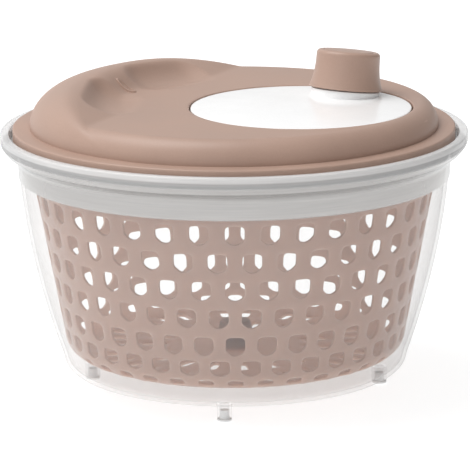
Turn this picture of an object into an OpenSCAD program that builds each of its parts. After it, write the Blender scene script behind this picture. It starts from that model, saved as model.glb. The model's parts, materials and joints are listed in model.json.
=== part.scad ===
// Salad spinner: a clear bowl on four feet, a perforated basket that turns on a pivot pin in the
// bowl, and a lid with an offset crank disc. The disc carries an internal ring gear that drives a
// pinion on the basket's axis, and a drive plate under the lid takes the basket round with it.
// Frame: +Z up, origin on the table under the bowl's axis, +X towards the crank disc's centre.

/* [Bowl] */
// Outer radius of the bowl's lip
rim_r = 129; // [126:0.5:156]
// Height of the top of the lip above the table
bowl_h = 144.5; // [130:0.5:176]
// Thickness of the bowl's wall and floor
bowl_wall = 2; // [1.6:0.1:2.6]
// Radius of the bowl's flat underside
base_r = 86; // [78:0.5:90]
// Radius at the heel, where the wall starts
heel_r = 95.8; // [92:0.2:100]
// Height of the heel above the underside
heel_h = 8.7; // [6:0.1:12]
// How far the wall bows out between heel and collar
wall_bow = 3.3; // [0:0.1:5]
// Width of the lip's top face
lip_w = 5; // [4:0.1:6]
// Height of the lip's outer face
lip_t = 4.3; // [3:0.1:6]
// How far the lip stands out from the collar
flare_w = 9.6; // [8:0.1:11]
// Height of the flare under the lip
flare_h = 12.4; // [10:0.1:14]
// Height of the frosted collar band
collar_h = 8.3; // [6:0.1:12]
// Depth of the ledge that carries the lid, below the lip
ledge_depth = 6; // [5:0.1:7]

/* [Feet] */
// Number of feet
foot_count = 4; // [3:1:6]
// Height of the feet
foot_h = 10; // [8:0.5:14]
// Outer radius of a foot's tube
foot_r = 4.25; // [3.8:0.05:5]
// Wall of a foot's tube
foot_wall = 1.65; // [1.2:0.05:1.8]
// Radius of the circle that the feet stand on
foot_ring_r = 80.5; // [70:0.5:80.5]
// Turn of the first foot from +X, in degrees
foot_turn = 20.6; // [0:0.1:89]
// Thickness of a foot plug's head
plug_head = 1.6; // [1.2:0.1:2.4]

/* [Pivot] */
// Radius of the pivot pin
pin_r = 2; // [1.5:0.05:2.6]
// Height that the pin stands above its boss
pin_reach = 9.5; // [8:0.5:10]
// Wall of the bush that runs on the pin
pivot_wall = 3.5; // [3:0.1:4.5]

/* [Basket] */
// Wall and floor thickness of the basket
basket_wall = 1.8; // [1.4:0.1:2.4]
// Space under the basket's floor for the water
water_gap = 7.1; // [6:0.1:9]
// Gap between the basket's top edge and the collar's inside
basket_gap = 2.5; // [2.5:0.1:4]
// Gap between the basket's heel and the bowl's wall
heel_gap = 2.6; // [2.4:0.1:4]
// Height of the basket's rounded heel
basket_heel_h = 12.7; // [10:0.1:15]
// Width of the rounded heel
basket_heel_w = 13.4; // [10:0.1:16]
// Depth of the basket's edge below the lip
basket_drop = 6.5; // [6.5:0.1:9]
// Holes in each row
hole_count = 36; // [24:1:38]
// Width of a hole
hole_w = 10.5; // [7:0.1:10.8]
// Height of a hole
hole_h = 11; // [7:0.1:11.5]
// Height of the heel row's middle above the basket's underside
heel_row = 13.7; // [13:0.1:14.5]
// Height of the first wall row's middle above the basket's underside
first_row = 26.5; // [26:0.5:29]
// Distance of the top row's middle below the basket's edge
top_row_drop = 29; // [26:0.5:32]
// Wanted distance from row to row in the wall
row_pitch = 15.9; // [14.5:0.1:18]
// Slots in the outer ring of the floor, twice as many as in the inner one
slot_count = 36; // [24:2:36]
// Length of a floor slot
slot_l = 14; // [10:0.5:16]
// Width of a floor slot
slot_w = 5; // [3:0.1:5.5]

/* [Lid] */
// Gap between the lid's edge and the lip
lid_gap = 2; // [1:0.1:3]
// Wall thickness of the lid
lid_wall = 2.2; // [1.6:0.1:2.6]
// Height of the lid's flange above the lip
flange_rise = 2.6; // [1:0.1:4]
// Width of the flange round the dome
flange_w = 9.3; // [8:0.1:11]
// Height of the dome above the flange
dome_h = 13; // [12.5:0.1:16]
// Width of the dome's rounded shoulder
shoulder_w = 10.7; // [9:0.1:11.5]
// Height of the grip hump above the dome
hump_h = 11; // [7:0.1:13]
// Distance of the hump's crest in from the dome's edge
crest_in = 32.7; // [28:0.1:36]
// Width of the hump's inner face
hump_face = 19; // [15:0.5:22]
// Rise of the hump's ends per unit of distance from the disc
hump_slope = 0.35; // [0.25:0.01:0.4]
// Radius of the finger hollows
scoop_r = 19; // [15:0.5:20]
// Depth of the finger hollows below the dome
scoop_depth = 1.2; // [0.5:0.1:2.5]
// Distance from the crest in to the line where the hump's ends run out
fade_in = 38; // [34:0.5:44]
// Length of the oval relief on the hump
badge_l = 12; // [8:0.5:14]
// Width of the oval relief
badge_w = 5; // [3:0.5:6]

/* [Gears] */
// Module of the gear teeth
gear_module = 1.5; // [1.2:0.05:1.55]
// Teeth on the ring gear, four for each tooth of the pinion
ring_teeth = 72; // [64:4:72]
// Teeth on the pinion
pinion_teeth = 18; // [16:1:18]
// Face width of the ring gear
gear_face = 7; // [5:0.5:7]
// Rim of the ring gear outside the pitch circle
ring_rim = 5; // [4.5:0.1:5.5]
// Backlash along the pitch circle
backlash = 0.3; // [0.1:0.05:0.4]

/* [Crank] */
// Overhang of the disc past the ring gear
disc_edge = 1.5; // [1:0.1:2]
// Thickness of the disc's edge
disc_t = 2.2; // [1.8:0.1:2.6]
// Crown of the disc
disc_crown = 2.2; // [1:0.1:3]
// Gap between the disc and the lid
disc_gap = 0.8; // [0.5:0.1:1.2]
// Radius of the crank axle and the drive spindle
axle_r = 4; // [3:0.1:4.5]
// Wall of their bushes
bush_wall = 2; // [1.5:0.1:2.5]
// Screws that hold the gear tray to the lid, one on each post
screw_r = 1.5; // [1.2:0.05:1.7]
// Turn of the knob round the disc from +X, in degrees
knob_turn = 75; // [0:1:359]

/* [Knob] */
// Radius of the knob's base
knob_base_r = 20.6; // [18:0.1:22]
// Radius of the knob's top
knob_top_r = 17.6; // [16:0.1:18]
// Height of the knob
knob_h = 21; // [19:0.5:26]
// Wall of the knob
knob_wall = 2; // [1.5:0.1:2.4]
// Lean of the knob outwards, in degrees
knob_lean = 8; // [0:0.5:10]
// Height of the knob's base above the disc
knob_lift = 3; // [3:0.1:5]
// Radius of the knob's axle
knob_axle_r = 3; // [2.5:0.1:3.5]

/* [Hidden] */
$fn = 96;
EPS = 0.01;
fit_gap = 0.02;        // pieces pressed together
run_gap = 0.05;        // shafts that turn in a bore
thrust_gap = 0.05;     // faces that slide on each other
washer_t = 0.6;

CLEAR = [0.93, 0.94, 0.94, 0.35];
BEIGE = [0.74, 0.63, 0.58];
WHITE = [0.97, 0.97, 0.97];
NATURAL = [0.92, 0.90, 0.84];
STEEL = [0.72, 0.73, 0.75];
RUBBER = [0.86, 0.87, 0.87, 0.6];

// Bowl
lip_in_r = rim_r - lip_w;
collar_r = rim_r - flare_w;
flare_bottom = bowl_h - lip_t - flare_h;
collar_bottom = flare_bottom - collar_h;
wall_top_r = collar_r - 0.9;
heel_z = foot_h + heel_h;
bead_u = 0.42;                  // how far down the flare its bead lies
bead_r = 0.7;
floor_z = foot_h + bowl_wall;
ledge_z = bowl_h - ledge_depth;
boss_h = 5;
boss_r = pin_r + 6;
pin_bottom = floor_z - 0.4;
pin_top = floor_z + boss_h + pin_reach;

function bowl_r(z) =
    z < heel_z ? heel_r
    : z < collar_bottom ? let (u = (z - heel_z) / (collar_bottom - heel_z))
        heel_r + (wall_top_r - heel_r) * u + 4 * wall_bow * u * (1 - u)
    : collar_r;
function flare_r(u) = collar_r + flare_w * (1 + cos(180 * u)) / 2;

// Basket
basket_z = floor_z + water_gap;
basket_top = bowl_h - basket_drop;
basket_heel_z = basket_z + basket_heel_h;
heel_steps = 12;
heel_room = [for (i = [0:heel_steps]) let (u = i / heel_steps)
    bowl_r(basket_heel_z - basket_heel_h * u) + basket_heel_w * (1 - sqrt(1 - u * u))];
basket_heel_r = min(heel_room) - bowl_wall - heel_gap;
basket_top_r = collar_r - bowl_wall - basket_gap;
basket_rim_w = 1.2;
basket_rim_t = 2;
basket_floor_r = basket_heel_r - basket_heel_w;
first_row_z = basket_z + first_row;
row_span = basket_top - top_row_drop - first_row_z;
row_steps = round(row_span / row_pitch);
heel_hole_h = 9;
heel_slot_h = 5.5;
heel_slot_in = 0.72;            // how far round the heel its lowest holes lie
outer_slots_in = 12;
inner_slots_in = 36;
notch_h = 4.6;
hub_r = pin_r + pivot_wall + 4.5;
bush_r = pin_r + pivot_wall;
hub_top = pin_top + 9;
snap = 0.6;

function basket_r(z) = basket_heel_r
    + (basket_top_r - basket_heel_r) * (z - basket_heel_z) / (basket_top - basket_heel_z);

// Lid
lid_r = lip_in_r - lid_gap;
flange_z = bowl_h + flange_rise;
dome_r = lid_r - flange_w;
dome_z = flange_z + dome_h;
flat_r = dome_r - shoulder_w;
crest_r = dome_r - crest_in;
foot_line_r = crest_r - hump_face;
fade_x = crest_r - fade_in;
scoop_x = foot_line_r - 3;      // the hollows lie just inside the hump's foot
scoop_near_y = 22;
scoop_far_y = 50;
scoop_bend = 9;                 // the far ends lie nearer the disc
badge_x = crest_r - 14;
badge_h = 2.4;

// Gears: the pinion sits on the basket's axis, inside the ring
ring_pitch_r = gear_module * ring_teeth / 2;
pinion_pitch_r = gear_module * pinion_teeth / 2;
crank_x = ring_pitch_r - pinion_pitch_r;
pressure_angle = 20;
addendum = gear_module;
dedendum = 1.2 * gear_module;
ring_r = ring_pitch_r + ring_rim;
gear_drop = 0.6;                // the pinion's top below the ring's top

// Crank
disc_r = ring_r + disc_edge;
disc_z = dome_z - 0.3;
disc_under = disc_z - disc_t;
disc_inner_under = disc_under + 1;
ring_bottom = disc_under - gear_face;
tray_top = dome_z - lid_wall - 1;
tray_r = disc_r + disc_gap + 0.5;
tray_wall = 2;
tray_floor = ring_bottom - 1.2;
tray_under = tray_floor - 2.2;
tray_boss_under = tray_under - 5;
tray_boss_r = axle_r + bush_wall + 2.5;
bush_flange = 1;
bush_top = tray_floor + bush_flange;
axle_bottom = tray_boss_under - 2.4;
disc_boss_r = axle_r + 4;
screw_ring_r = tray_r + tray_wall + 5.2;
screw_turns = [60, 120, 180, 240, 300];
post_r = 3.8;
screw_l = 8.5;
screw_head_r = 3;
screw_head_h = 2;
tab_r = 4.5;
peg_count = 6;
peg_r = 0.9;
peg_ring_r = ring_pitch_r + 3.3;
peg_h = 1;

// Knob, drawn upright at the origin and set on the disc by place_knob()
knob_r = disc_r - knob_base_r - 0.5;
knob_z = disc_z + disc_crown * (1 - pow(knob_r / disc_r, 2)) + knob_lift;
seat_gap = 0.6;
knob_boss_r = knob_axle_r + 4;
knob_boss_h = 6;
knob_edge_r = 2.2;
knob_stem = 12;                 // how far the knob's seat reaches down into the disc
sleeve_r = knob_boss_r + 0.6;
sleeve_top = knob_h - 5.5;
cap_t = 1.6;
cap_r = knob_top_r - 4;

// Drive plate
pinion_bottom = bush_top + thrust_gap + washer_t;
pinion_top = disc_under - gear_drop;
plate_z = basket_top - 3.4;
plate_t = 2;
plate_r = basket_r(plate_z) - basket_wall - 1;
plate_hub_r = axle_r + 6;
plate_hub_top = tray_boss_under - 0.6;
plate_hub_under = plate_z - 1.6;
rib_h = 1.6;
rib_w = 1.6;
inner_rib_r = plate_r - 50;
lug_count = 6;
lug_w = 11;
lug_gap = 0.5;
lug_reach = basket_top_r + 0.4;
plate_screw_head_r = 4.4;
plate_screw_head_h = 2.4;
plate_washer_t = 0.8;

// ---- Helpers ----

module ring(outer, inner, low, high) {
    translate([0, 0, low]) difference() {
        cylinder(r = outer, h = high - low);
        translate([0, 0, -1]) cylinder(r = inner, h = high - low + 2);
    }
}

module around(count, turn = 0) {
    for (i = [0:count - 1]) rotate(turn + 360 * i / count) children();
}

module at_crank() { translate([crank_x, 0, 0]) children(); }

// Stands a piece on the disc, leaning outwards
module place_knob() {
    at_crank() rotate(knob_turn) translate([knob_r, 0, knob_z]) rotate([0, knob_lean, 0]) children();
}

// Quarter of an ellipse from angle a to b, about [cx, cz]
function bend(cx, cz, rx, rz, a, b, steps) =
    [for (i = [0:steps]) let (t = a + (b - a) * i / steps) [cx + rx * cos(t), cz + rz * sin(t)]];

// ---- Bowl ----

module bowl_shell() {
    outer_heel = bend(base_r, heel_z, heel_r - base_r, heel_h, -90, 0, 4);
    inner_heel = bend(base_r - 1, heel_z, heel_r - base_r + 1 - bowl_wall, heel_h - bowl_wall, 0, -90, 4);
    steps = 8;
    wall_z = [for (i = [1:steps]) heel_z + (collar_bottom - heel_z) * i / steps];
    flare_steps = 6;
    flare = [for (i = [0:flare_steps]) let (u = i / flare_steps)
        [flare_r(1 - u), flare_bottom + flare_h * u]];
    lip = [[rim_r, bowl_h - 1], [rim_r - 1, bowl_h], [lip_in_r + 0.5, bowl_h], [lip_in_r, bowl_h - 0.5]];
    ledge = [[lip_in_r, ledge_z], [lip_in_r - 3, ledge_z], [collar_r - bowl_wall, flare_bottom]];
    rotate_extrude() polygon(concat(
        [[0, foot_h]], outer_heel,
        [for (z = wall_z) [bowl_r(z - EPS), z]],
        [[collar_r - 0.2, collar_bottom + 0.4]], flare, lip, ledge,
        [for (i = [steps - 1:-1:0]) [bowl_r(wall_z[i] - EPS) - bowl_wall, wall_z[i]]],
        inner_heel, [[0, floor_z]]));
}

module bowl() {
    bead_z = bowl_h - lip_t - flare_h * bead_u;
    color(CLEAR) difference() {
        union() {
            bowl_shell();
            rotate_extrude() translate([flare_r(bead_u), bead_z]) circle(r = bead_r, $fn = 24);
            translate([0, 0, floor_z - 1]) cylinder(r1 = boss_r + 2, r2 = boss_r, h = boss_h + 1);
            around(foot_count, foot_turn) translate([foot_ring_r, 0, plug_head])
                cylinder(r = foot_r, h = foot_h - plug_head + 0.5);
        }
        translate([0, 0, pin_bottom]) cylinder(r = pin_r + fit_gap, h = boss_h + 2);
        around(foot_count, foot_turn) translate([foot_ring_r, 0, 0])
            cylinder(r = foot_r - foot_wall, h = foot_h);
    }
}

module foot_plugs() {
    color(RUBBER) around(foot_count, foot_turn) translate([foot_ring_r, 0, 0]) rotate_extrude()
        polygon(concat([[0, 0]], bend(foot_r - 1.2, 1.2, 1, 1.2, -90, 0, 3),
            [[foot_r - 0.2, plug_head], [foot_r - foot_wall - fit_gap, plug_head],
            [foot_r - foot_wall - fit_gap, foot_h - 3.5], [0, foot_h - 3.5]]));
}

module pivot_pin() {
    color(STEEL) rotate_extrude() polygon(concat([[0, pin_bottom], [pin_r, pin_bottom]],
        bend(0, pin_top - pin_r, pin_r, pin_r, 0, 90, 6)));
}

// The bush snaps into the basket's hub and stays still on the pin
module pivot_bush() {
    low = floor_z + boss_h + 0.4;
    seat = basket_z - thrust_gap;
    snap_z = pin_top - 2;
    top = pin_top + 2.5;
    flange = bush_r + 2.5;
    color(NATURAL) rotate_extrude() polygon([[pin_r + run_gap, low], [flange, low], [flange, seat],
        [bush_r, seat], [bush_r, snap_z], [bush_r + snap, snap_z + 0.8], [bush_r, snap_z + 2.4],
        [bush_r - 0.8, top], [0, top], [0, pin_top + 0.1], [pin_r + run_gap, pin_top + 0.1]]);
}

// ---- Basket ----

module basket_shell() {
    w = basket_wall;
    heel = bend(basket_floor_r, basket_heel_z, basket_heel_w, basket_heel_h, -90, 0, 5);
    inner = bend(basket_floor_r, basket_heel_z, basket_heel_w - w, basket_heel_h - w, 0, -90, 5);
    rim_under = basket_top - basket_rim_t;
    rim_reach = basket_top_r + basket_rim_w;
    rotate_extrude() polygon(concat([[0, basket_z]], heel,
        [[basket_r(rim_under), rim_under], [rim_reach, rim_under + 0.3], [rim_reach, basket_top],
        [basket_top_r - w, basket_top]], inner, [[0, basket_z + w]]));
}

// Shield-shaped hole: flat top, rounded point below
module shield(w, h) {
    polygon([[-w / 2, h / 2], [w / 2, h / 2], [w / 2, -h * 0.12], [w * 0.3, -h * 0.38], [0, -h / 2],
        [-w * 0.3, -h * 0.38], [-w / 2, -h * 0.12]]);
}

module wall_hole(z, h) {
    depth = 8;
    translate([basket_r(z) - depth, 0, z]) rotate([90, 0, 90]) linear_extrude(height = 2 * depth)
        shield(hole_w, h);
}

module heel_hole() {
    depth = 6;
    r = basket_floor_r + basket_heel_w * heel_slot_in;
    translate([r, 0, basket_heel_z - basket_heel_h * heel_slot_in]) rotate([0, 45, 0])
        translate([-depth, 0, 0]) rotate([90, 0, 90]) linear_extrude(height = 2 * depth)
            shield(hole_w * 0.8, heel_slot_h);
}

module floor_slot(r) {
    translate([r, 0, basket_z - 1]) linear_extrude(height = basket_wall + 2)
        square([slot_l, slot_w], center = true);
}

module basket() {
    bore_r = bush_r + run_gap;
    groove_z = pin_top - 2.3;
    half = 180 / hole_count;
    color(BEIGE) difference() {
        union() {
            basket_shell();
            translate([0, 0, basket_z]) cylinder(r1 = hub_r + 3, r2 = hub_r - 1, h = hub_top - basket_z);
        }
        translate([0, 0, basket_z - 1]) cylinder(r = bore_r, h = pin_top + 3 - basket_z + 1);
        rotate_extrude() polygon([[0, groove_z], [bore_r, groove_z], [bore_r + snap, groove_z + 0.8],
            [bore_r + snap, groove_z + 1.6], [bore_r, groove_z + 3.2], [0, groove_z + 3.2]]);
        for (row = [0:row_steps])
            around(hole_count, row % 2 == 0 ? half : 0)
                wall_hole(first_row_z + row * row_span / row_steps, hole_h);
        around(hole_count) wall_hole(basket_z + heel_row, heel_hole_h);
        around(hole_count, half) heel_hole();
        around(slot_count) floor_slot(basket_floor_r - outer_slots_in);
        around(slot_count / 2) floor_slot(basket_floor_r - inner_slots_in);
        around(lug_count) translate([basket_top_r - 6, -(lug_w / 2 + lug_gap), basket_top - notch_h])
            cube([12, lug_w + 2 * lug_gap, 2 * notch_h]);
    }
}

// ---- Lid ----

// Solid form of the dome with its hump, shrunk by t; t = 0 is the outside
module dome_form(t) {
    low = flange_z - lid_wall - 1;
    far = 200;
    deep = 60;
    module side(r, h) {
        rotate_extrude() polygon(concat([[0, low], [dome_r - t, low]],
            bend(r, flange_z, dome_r - r - t, h - t, 0, 90, 7), [[0, flange_z + h - t]]));
    }
    module crest() {
        face = [for (i = [0:6]) let (u = i / 6) [crest_r - hump_face * u,
            dome_z - t + hump_h * (1 + cos(180 * u)) / 2]];
        rotate_extrude() polygon(concat([[foot_line_r, low], [dome_r - t, low]],
            bend(crest_r, flange_z, dome_r - crest_r - t, dome_h + hump_h - t, 0, 90, 9), face));
    }
    difference() {
        union() {
            side(flat_r, dome_h);
            intersection() {
                crest();
                translate([-fade_x, 0, dome_z - t]) rotate([0, atan(hump_slope), 0])
                    translate([-far, -far, -deep]) cube([far, 2 * far, deep]);
            }
        }
        for (s = [-1, 1]) scoop(s, t);
    }
}

module scoop(s, t) {
    z = dome_z - scoop_depth + scoop_r;
    near = [-scoop_x, s * scoop_near_y, z];
    far = [scoop_bend - scoop_x, s * scoop_far_y, z];
    run = norm(far - near);
    translate(near) rotate([0, 90, atan2(far[1] - near[1], far[0] - near[0])]) {
        cylinder(r = scoop_r + t, h = run);
        sphere(r = scoop_r + t);
        translate([0, 0, run]) sphere(r = scoop_r + t);
    }
}

module lid_cover() {
    hole_r = disc_r + disc_gap;
    w = lid_wall;
    lap = 0.6;
    below = 20;
    color(BEIGE) difference() {
        union() {
            difference() {
                dome_form(0);
                dome_form(w);
            }
            rotate_extrude() polygon([[dome_r - w - lap, flange_z - w], [lid_r - w, flange_z - w],
                [lid_r - w, ledge_z], [lid_r, ledge_z], [lid_r, flange_z - 1], [lid_r - 1, flange_z],
                [dome_r - w - lap, flange_z]]);
            at_crank() ring(tray_r + tray_wall, hole_r, tray_top, dome_z);
            at_crank() for (a = screw_turns) rotate(a) translate([screw_ring_r, 0, tray_floor])
                cylinder(r = post_r, h = dome_z - w / 2 - tray_floor);
            translate([-badge_x, 0, dome_z - 1]) badge();
        }
        at_crank() translate([0, 0, dome_z - below]) cylinder(r = hole_r, h = 2 * below);
        translate([0, 0, flange_z - w - below]) cylinder(r = dome_r - w - lap + 0.1, h = below);
        at_crank() for (a = screw_turns) rotate(a) translate([screw_ring_r, 0, tray_floor - 1])
            cylinder(r = screw_r + run_gap, h = screw_l);
    }
}

// Plain oval relief between the two finger hollows
module badge() {
    half = (badge_l - badge_w) / 2;
    linear_extrude(height = badge_h + 1) union() {
        square([2 * half, badge_w], center = true);
        for (s = [-1, 1]) translate([s * half, 0]) circle(r = badge_w / 2);
    }
}

module gear_tray() {
    color(WHITE) difference() {
        union() {
            at_crank() ring(tray_r + tray_wall, tray_r, tray_under, tray_top);
            at_crank() translate([0, 0, tray_under]) cylinder(r = tray_r + 1, h = tray_floor - tray_under);
            at_crank() for (a = screw_turns) rotate(a) translate([tray_r + 1, -tab_r, tray_under])
                cube([screw_ring_r - tray_r - 1, 2 * tab_r, tray_floor - tray_under]);
            at_crank() for (a = screw_turns) rotate(a) translate([screw_ring_r, 0, tray_under])
                cylinder(r = tab_r, h = tray_floor - tray_under);
            for (x = [0, crank_x]) translate([x, 0, tray_boss_under])
                cylinder(r = tray_boss_r, h = tray_floor - tray_boss_under);
            translate([0, -1, tray_under - 3]) cube([crank_x, 2, 4]);
        }
        for (x = [0, crank_x]) translate([x, 0, tray_boss_under - 1])
            cylinder(r = axle_r + bush_wall + fit_gap, h = tray_floor - tray_boss_under + 2);
        at_crank() for (a = screw_turns) rotate(a) translate([screw_ring_r, 0, tray_under - 1])
            cylinder(r = screw_r + 0.2, h = 6);
    }
}

module tray_screws() {
    color(STEEL) at_crank() for (a = screw_turns) rotate(a) translate([screw_ring_r, 0, tray_under])
        cross_screw(screw_l, screw_head_r, screw_head_h);
}

// Screw with its head below z = 0 and a cross recess
module cross_screw(length, head_r, head_h) {
    difference() {
        union() {
            cylinder(r = screw_r, h = length);
            translate([0, 0, -head_h]) cylinder(r1 = head_r - 0.8, r2 = head_r, h = head_h);
        }
        for (q = [0, 90]) rotate(q) translate([-head_r / 2, -0.4, -head_h - 1]) cube([head_r, 0.8, 2]);
    }
}

module flanged_bush() {
    color(NATURAL) difference() {
        union() {
            translate([0, 0, tray_boss_under])
                cylinder(r = axle_r + bush_wall, h = bush_top - tray_boss_under);
            translate([0, 0, tray_floor]) cylinder(r = axle_r + bush_wall + 2, h = bush_flange);
        }
        translate([0, 0, tray_boss_under - 1])
            cylinder(r = axle_r + run_gap, h = bush_top - tray_boss_under + 2);
    }
}

module axle_bush() { at_crank() flanged_bush(); }

module spindle_bush() { flanged_bush(); }

// ---- Crank ----

module disc_blank() {
    steps = 8;
    step_r = ring_pitch_r - 10;
    crown = [for (i = [0:steps]) let (r = (disc_r - 0.6) * (1 - i / steps))
        [r, disc_z + disc_crown * (1 - pow(r / disc_r, 2))]];
    rotate_extrude() polygon(concat([[0, disc_inner_under], [step_r, disc_inner_under],
        [step_r + 1, disc_under], [disc_r - 0.4, disc_under], [disc_r, disc_under + 0.4],
        [disc_r, disc_z - 0.5]], crown));
}

module crank_disc() {
    washer_top = bush_top + thrust_gap + washer_t;
    color(WHITE) difference() {
        union() {
            at_crank() disc_blank();
            at_crank() translate([0, 0, washer_top])
                cylinder(r = disc_boss_r, h = disc_inner_under + 1 - washer_top);
            intersection() {
                place_knob() translate([0, 0, -knob_stem]) union() {
                    cylinder(r = knob_base_r - 1.6, h = knob_stem - seat_gap);
                    cylinder(r = knob_boss_r, h = knob_stem + knob_boss_h);
                }
                at_crank() translate([0, 0, disc_inner_under + 0.5])
                    cylinder(r = disc_r, h = 2 * knob_h);
            }
        }
        at_crank() translate([0, 0, washer_top - 1]) cylinder(r = axle_r + fit_gap, h = disc_z - washer_top);
        place_knob() translate([0, 0, -knob_lift])
            cylinder(r = knob_axle_r + fit_gap, h = knob_lift + knob_boss_h + 1);
        at_crank() around(peg_count) translate([peg_ring_r, 0, disc_under - 1])
            cylinder(r = peg_r + fit_gap, h = 1 + peg_h + 0.1);
    }
}

// One internal tooth space of the ring: the pinion's tooth outline with clearance
module ring_gap() {
    half = gear_module * PI / 4 + backlash / 4;
    slope = tan(pressure_angle);
    depth = addendum + 0.6;
    tip = [ring_pitch_r - depth, half + slope * depth];
    root = [ring_pitch_r + dedendum, half - slope * dedendum];
    polygon([tip, root, [root[0], -root[1]], [tip[0], -tip[1]]]);
}

module ring_gear() {
    color(NATURAL) at_crank() union() {
        translate([0, 0, ring_bottom]) linear_extrude(height = gear_face) difference() {
            circle(r = ring_r);
            circle(r = ring_pitch_r - addendum);
            around(ring_teeth) ring_gap();
        }
        around(peg_count) translate([peg_ring_r, 0, disc_under - 1]) cylinder(r = peg_r, h = 1 + peg_h);
    }
}

module crank_axle() {
    top = disc_z - 1.2;
    color(STEEL) at_crank() difference() {
        translate([0, 0, axle_bottom]) cylinder(r = axle_r, h = top - axle_bottom);
        ring(axle_r + 1, axle_r - 0.8, axle_bottom + 0.8, axle_bottom + 1.6);
    }
}

module axle_washers() {
    color(STEEL) at_crank() {
        ring(axle_r + 3, axle_r + run_gap, bush_top + thrust_gap, bush_top + thrust_gap + washer_t);
        ring(axle_r + 3, axle_r + run_gap,
            tray_boss_under - thrust_gap - washer_t, tray_boss_under - thrust_gap);
    }
}

module axle_clip() {
    low = axle_bottom + 0.82;
    color(STEEL) at_crank() difference() {
        ring(axle_r + 2, axle_r - 0.75, low, low + 0.76);
        translate([0, -1.6, low - 1]) cube([axle_r + 4, 3.2, 3]);
    }
}

module knob_axle() {
    color(STEEL) place_knob() difference() {
        translate([0, 0, -knob_lift + 0.1]) cylinder(r = knob_axle_r, h = knob_lift + sleeve_top + 1.5);
        ring(knob_axle_r + 1, knob_axle_r - 0.6, sleeve_top + 0.1, sleeve_top + 0.8);
    }
}

module knob_clip() {
    color(STEEL) place_knob()
        ring(knob_axle_r + 2, knob_axle_r - 0.55, sleeve_top + 0.12, sleeve_top + 0.78);
}

// ---- Knob ----

function knob_side(z) = let (u = z / knob_h) knob_top_r + (knob_base_r - knob_top_r) * pow(1 - u, 2.2);

module knob() {
    steps = 6;
    side_h = knob_h - knob_edge_r;
    side = [for (i = [0:steps]) let (z = side_h * i / steps) [knob_side(z), z]];
    edge = bend(knob_top_r - knob_edge_r, side_h, knob_edge_r, knob_edge_r, 15, 90, 4);
    seat_z = knob_h - cap_t;
    inner_r = knob_top_r - knob_wall;
    color(BEIGE) place_knob() rotate_extrude() polygon(concat(side, edge,
        [[cap_r, knob_h], [cap_r, seat_z], [cap_r - 1.5, seat_z], [cap_r - 1.5, seat_z - 1.2],
        [inner_r, seat_z - 1.2], [inner_r, 1.5], [inner_r + 1, 0]]));
}

module knob_sleeve() {
    seat_r = knob_top_r - knob_wall - fit_gap;
    bore = knob_axle_r + run_gap;
    neck_r = knob_axle_r + 2;
    w = 1.5;
    color(WHITE) place_knob() rotate_extrude() polygon([[sleeve_r, -seat_gap / 2], [seat_r, -seat_gap / 2],
        [seat_r, w + 2], [seat_r - w, w + 2], [seat_r - w, w], [sleeve_r + w, w],
        [sleeve_r + w, knob_boss_h + 2], [neck_r, knob_boss_h + 2], [neck_r, sleeve_top],
        [bore, sleeve_top], [bore, knob_boss_h + thrust_gap], [sleeve_r, knob_boss_h + thrust_gap]]);
}

module knob_cap() {
    r = cap_r - fit_gap;
    under = knob_h - cap_t + fit_gap;
    color(BEIGE) place_knob() rotate_extrude()
        polygon([[0, under], [r, under], [r, knob_h - 0.3], [r - 0.3, knob_h], [0, knob_h + 0.3]]);
}

// ---- Drive ----

// Involute of a base circle, as a point at roll angle t
function involute(base, t) = let (rad = t * PI / 180)
    [base * (cos(t) + rad * sin(t)), base * (sin(t) - rad * cos(t))];
function turned(p, a) = [p[0] * cos(a) - p[1] * sin(a), p[0] * sin(a) + p[1] * cos(a)];

module pinion_tooth() {
    base = pinion_pitch_r * cos(pressure_angle);
    tip = pinion_pitch_r + 0.9 * addendum;
    roll_pitch = sqrt(pow(pinion_pitch_r / base, 2) - 1) * 180 / PI;
    roll_tip = sqrt(pow(tip / base, 2) - 1) * 180 / PI;
    pitch_angle = roll_pitch - atan(roll_pitch * PI / 180);
    half = 90 / pinion_teeth - backlash / 4 / pinion_pitch_r * 180 / PI;
    steps = 4;
    flank = [for (i = [0:steps]) turned(involute(base, roll_tip * i / steps), -half - pitch_angle)];
    root = pinion_pitch_r - dedendum - 0.5;
    polygon(concat([turned([root, 0], -half - pitch_angle)], flank,
        [for (i = [steps:-1:0]) [flank[i][0], -flank[i][1]]], [turned([root, 0], half + pitch_angle)]));
}

module pinion() {
    color(NATURAL) difference() {
        translate([0, 0, pinion_bottom]) linear_extrude(height = pinion_top - pinion_bottom) union() {
            circle(r = pinion_pitch_r - dedendum);
            around(pinion_teeth) pinion_tooth();
        }
        translate([0, 0, pinion_bottom - 1]) spindle_section(fit_gap, 20);
    }
}

// Round shaft with a flat, which keys the pinion and the plate
module spindle_section(gap, h) {
    difference() {
        cylinder(r = axle_r + gap, h = h);
        translate([axle_r - 0.8 + gap, -axle_r, -1]) cube([axle_r, 2 * axle_r, h + 2]);
    }
}

module drive_spindle() {
    low = plate_hub_under + 0.2;
    color(STEEL) difference() {
        union() {
            translate([0, 0, low]) spindle_section(0, tray_boss_under - 0.3 - low);
            translate([0, 0, tray_boss_under - 0.3])
                cylinder(r = axle_r, h = bush_top - tray_boss_under + 0.3);
            translate([0, 0, bush_top]) spindle_section(0, pinion_top - bush_top);
        }
        translate([0, 0, low - 1]) cylinder(r = screw_r + fit_gap, h = screw_l + 0.5);
    }
}

module spindle_washer() {
    color(STEEL) ring(axle_r + 3, axle_r + run_gap, bush_top + thrust_gap, pinion_bottom - fit_gap);
}

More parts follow.
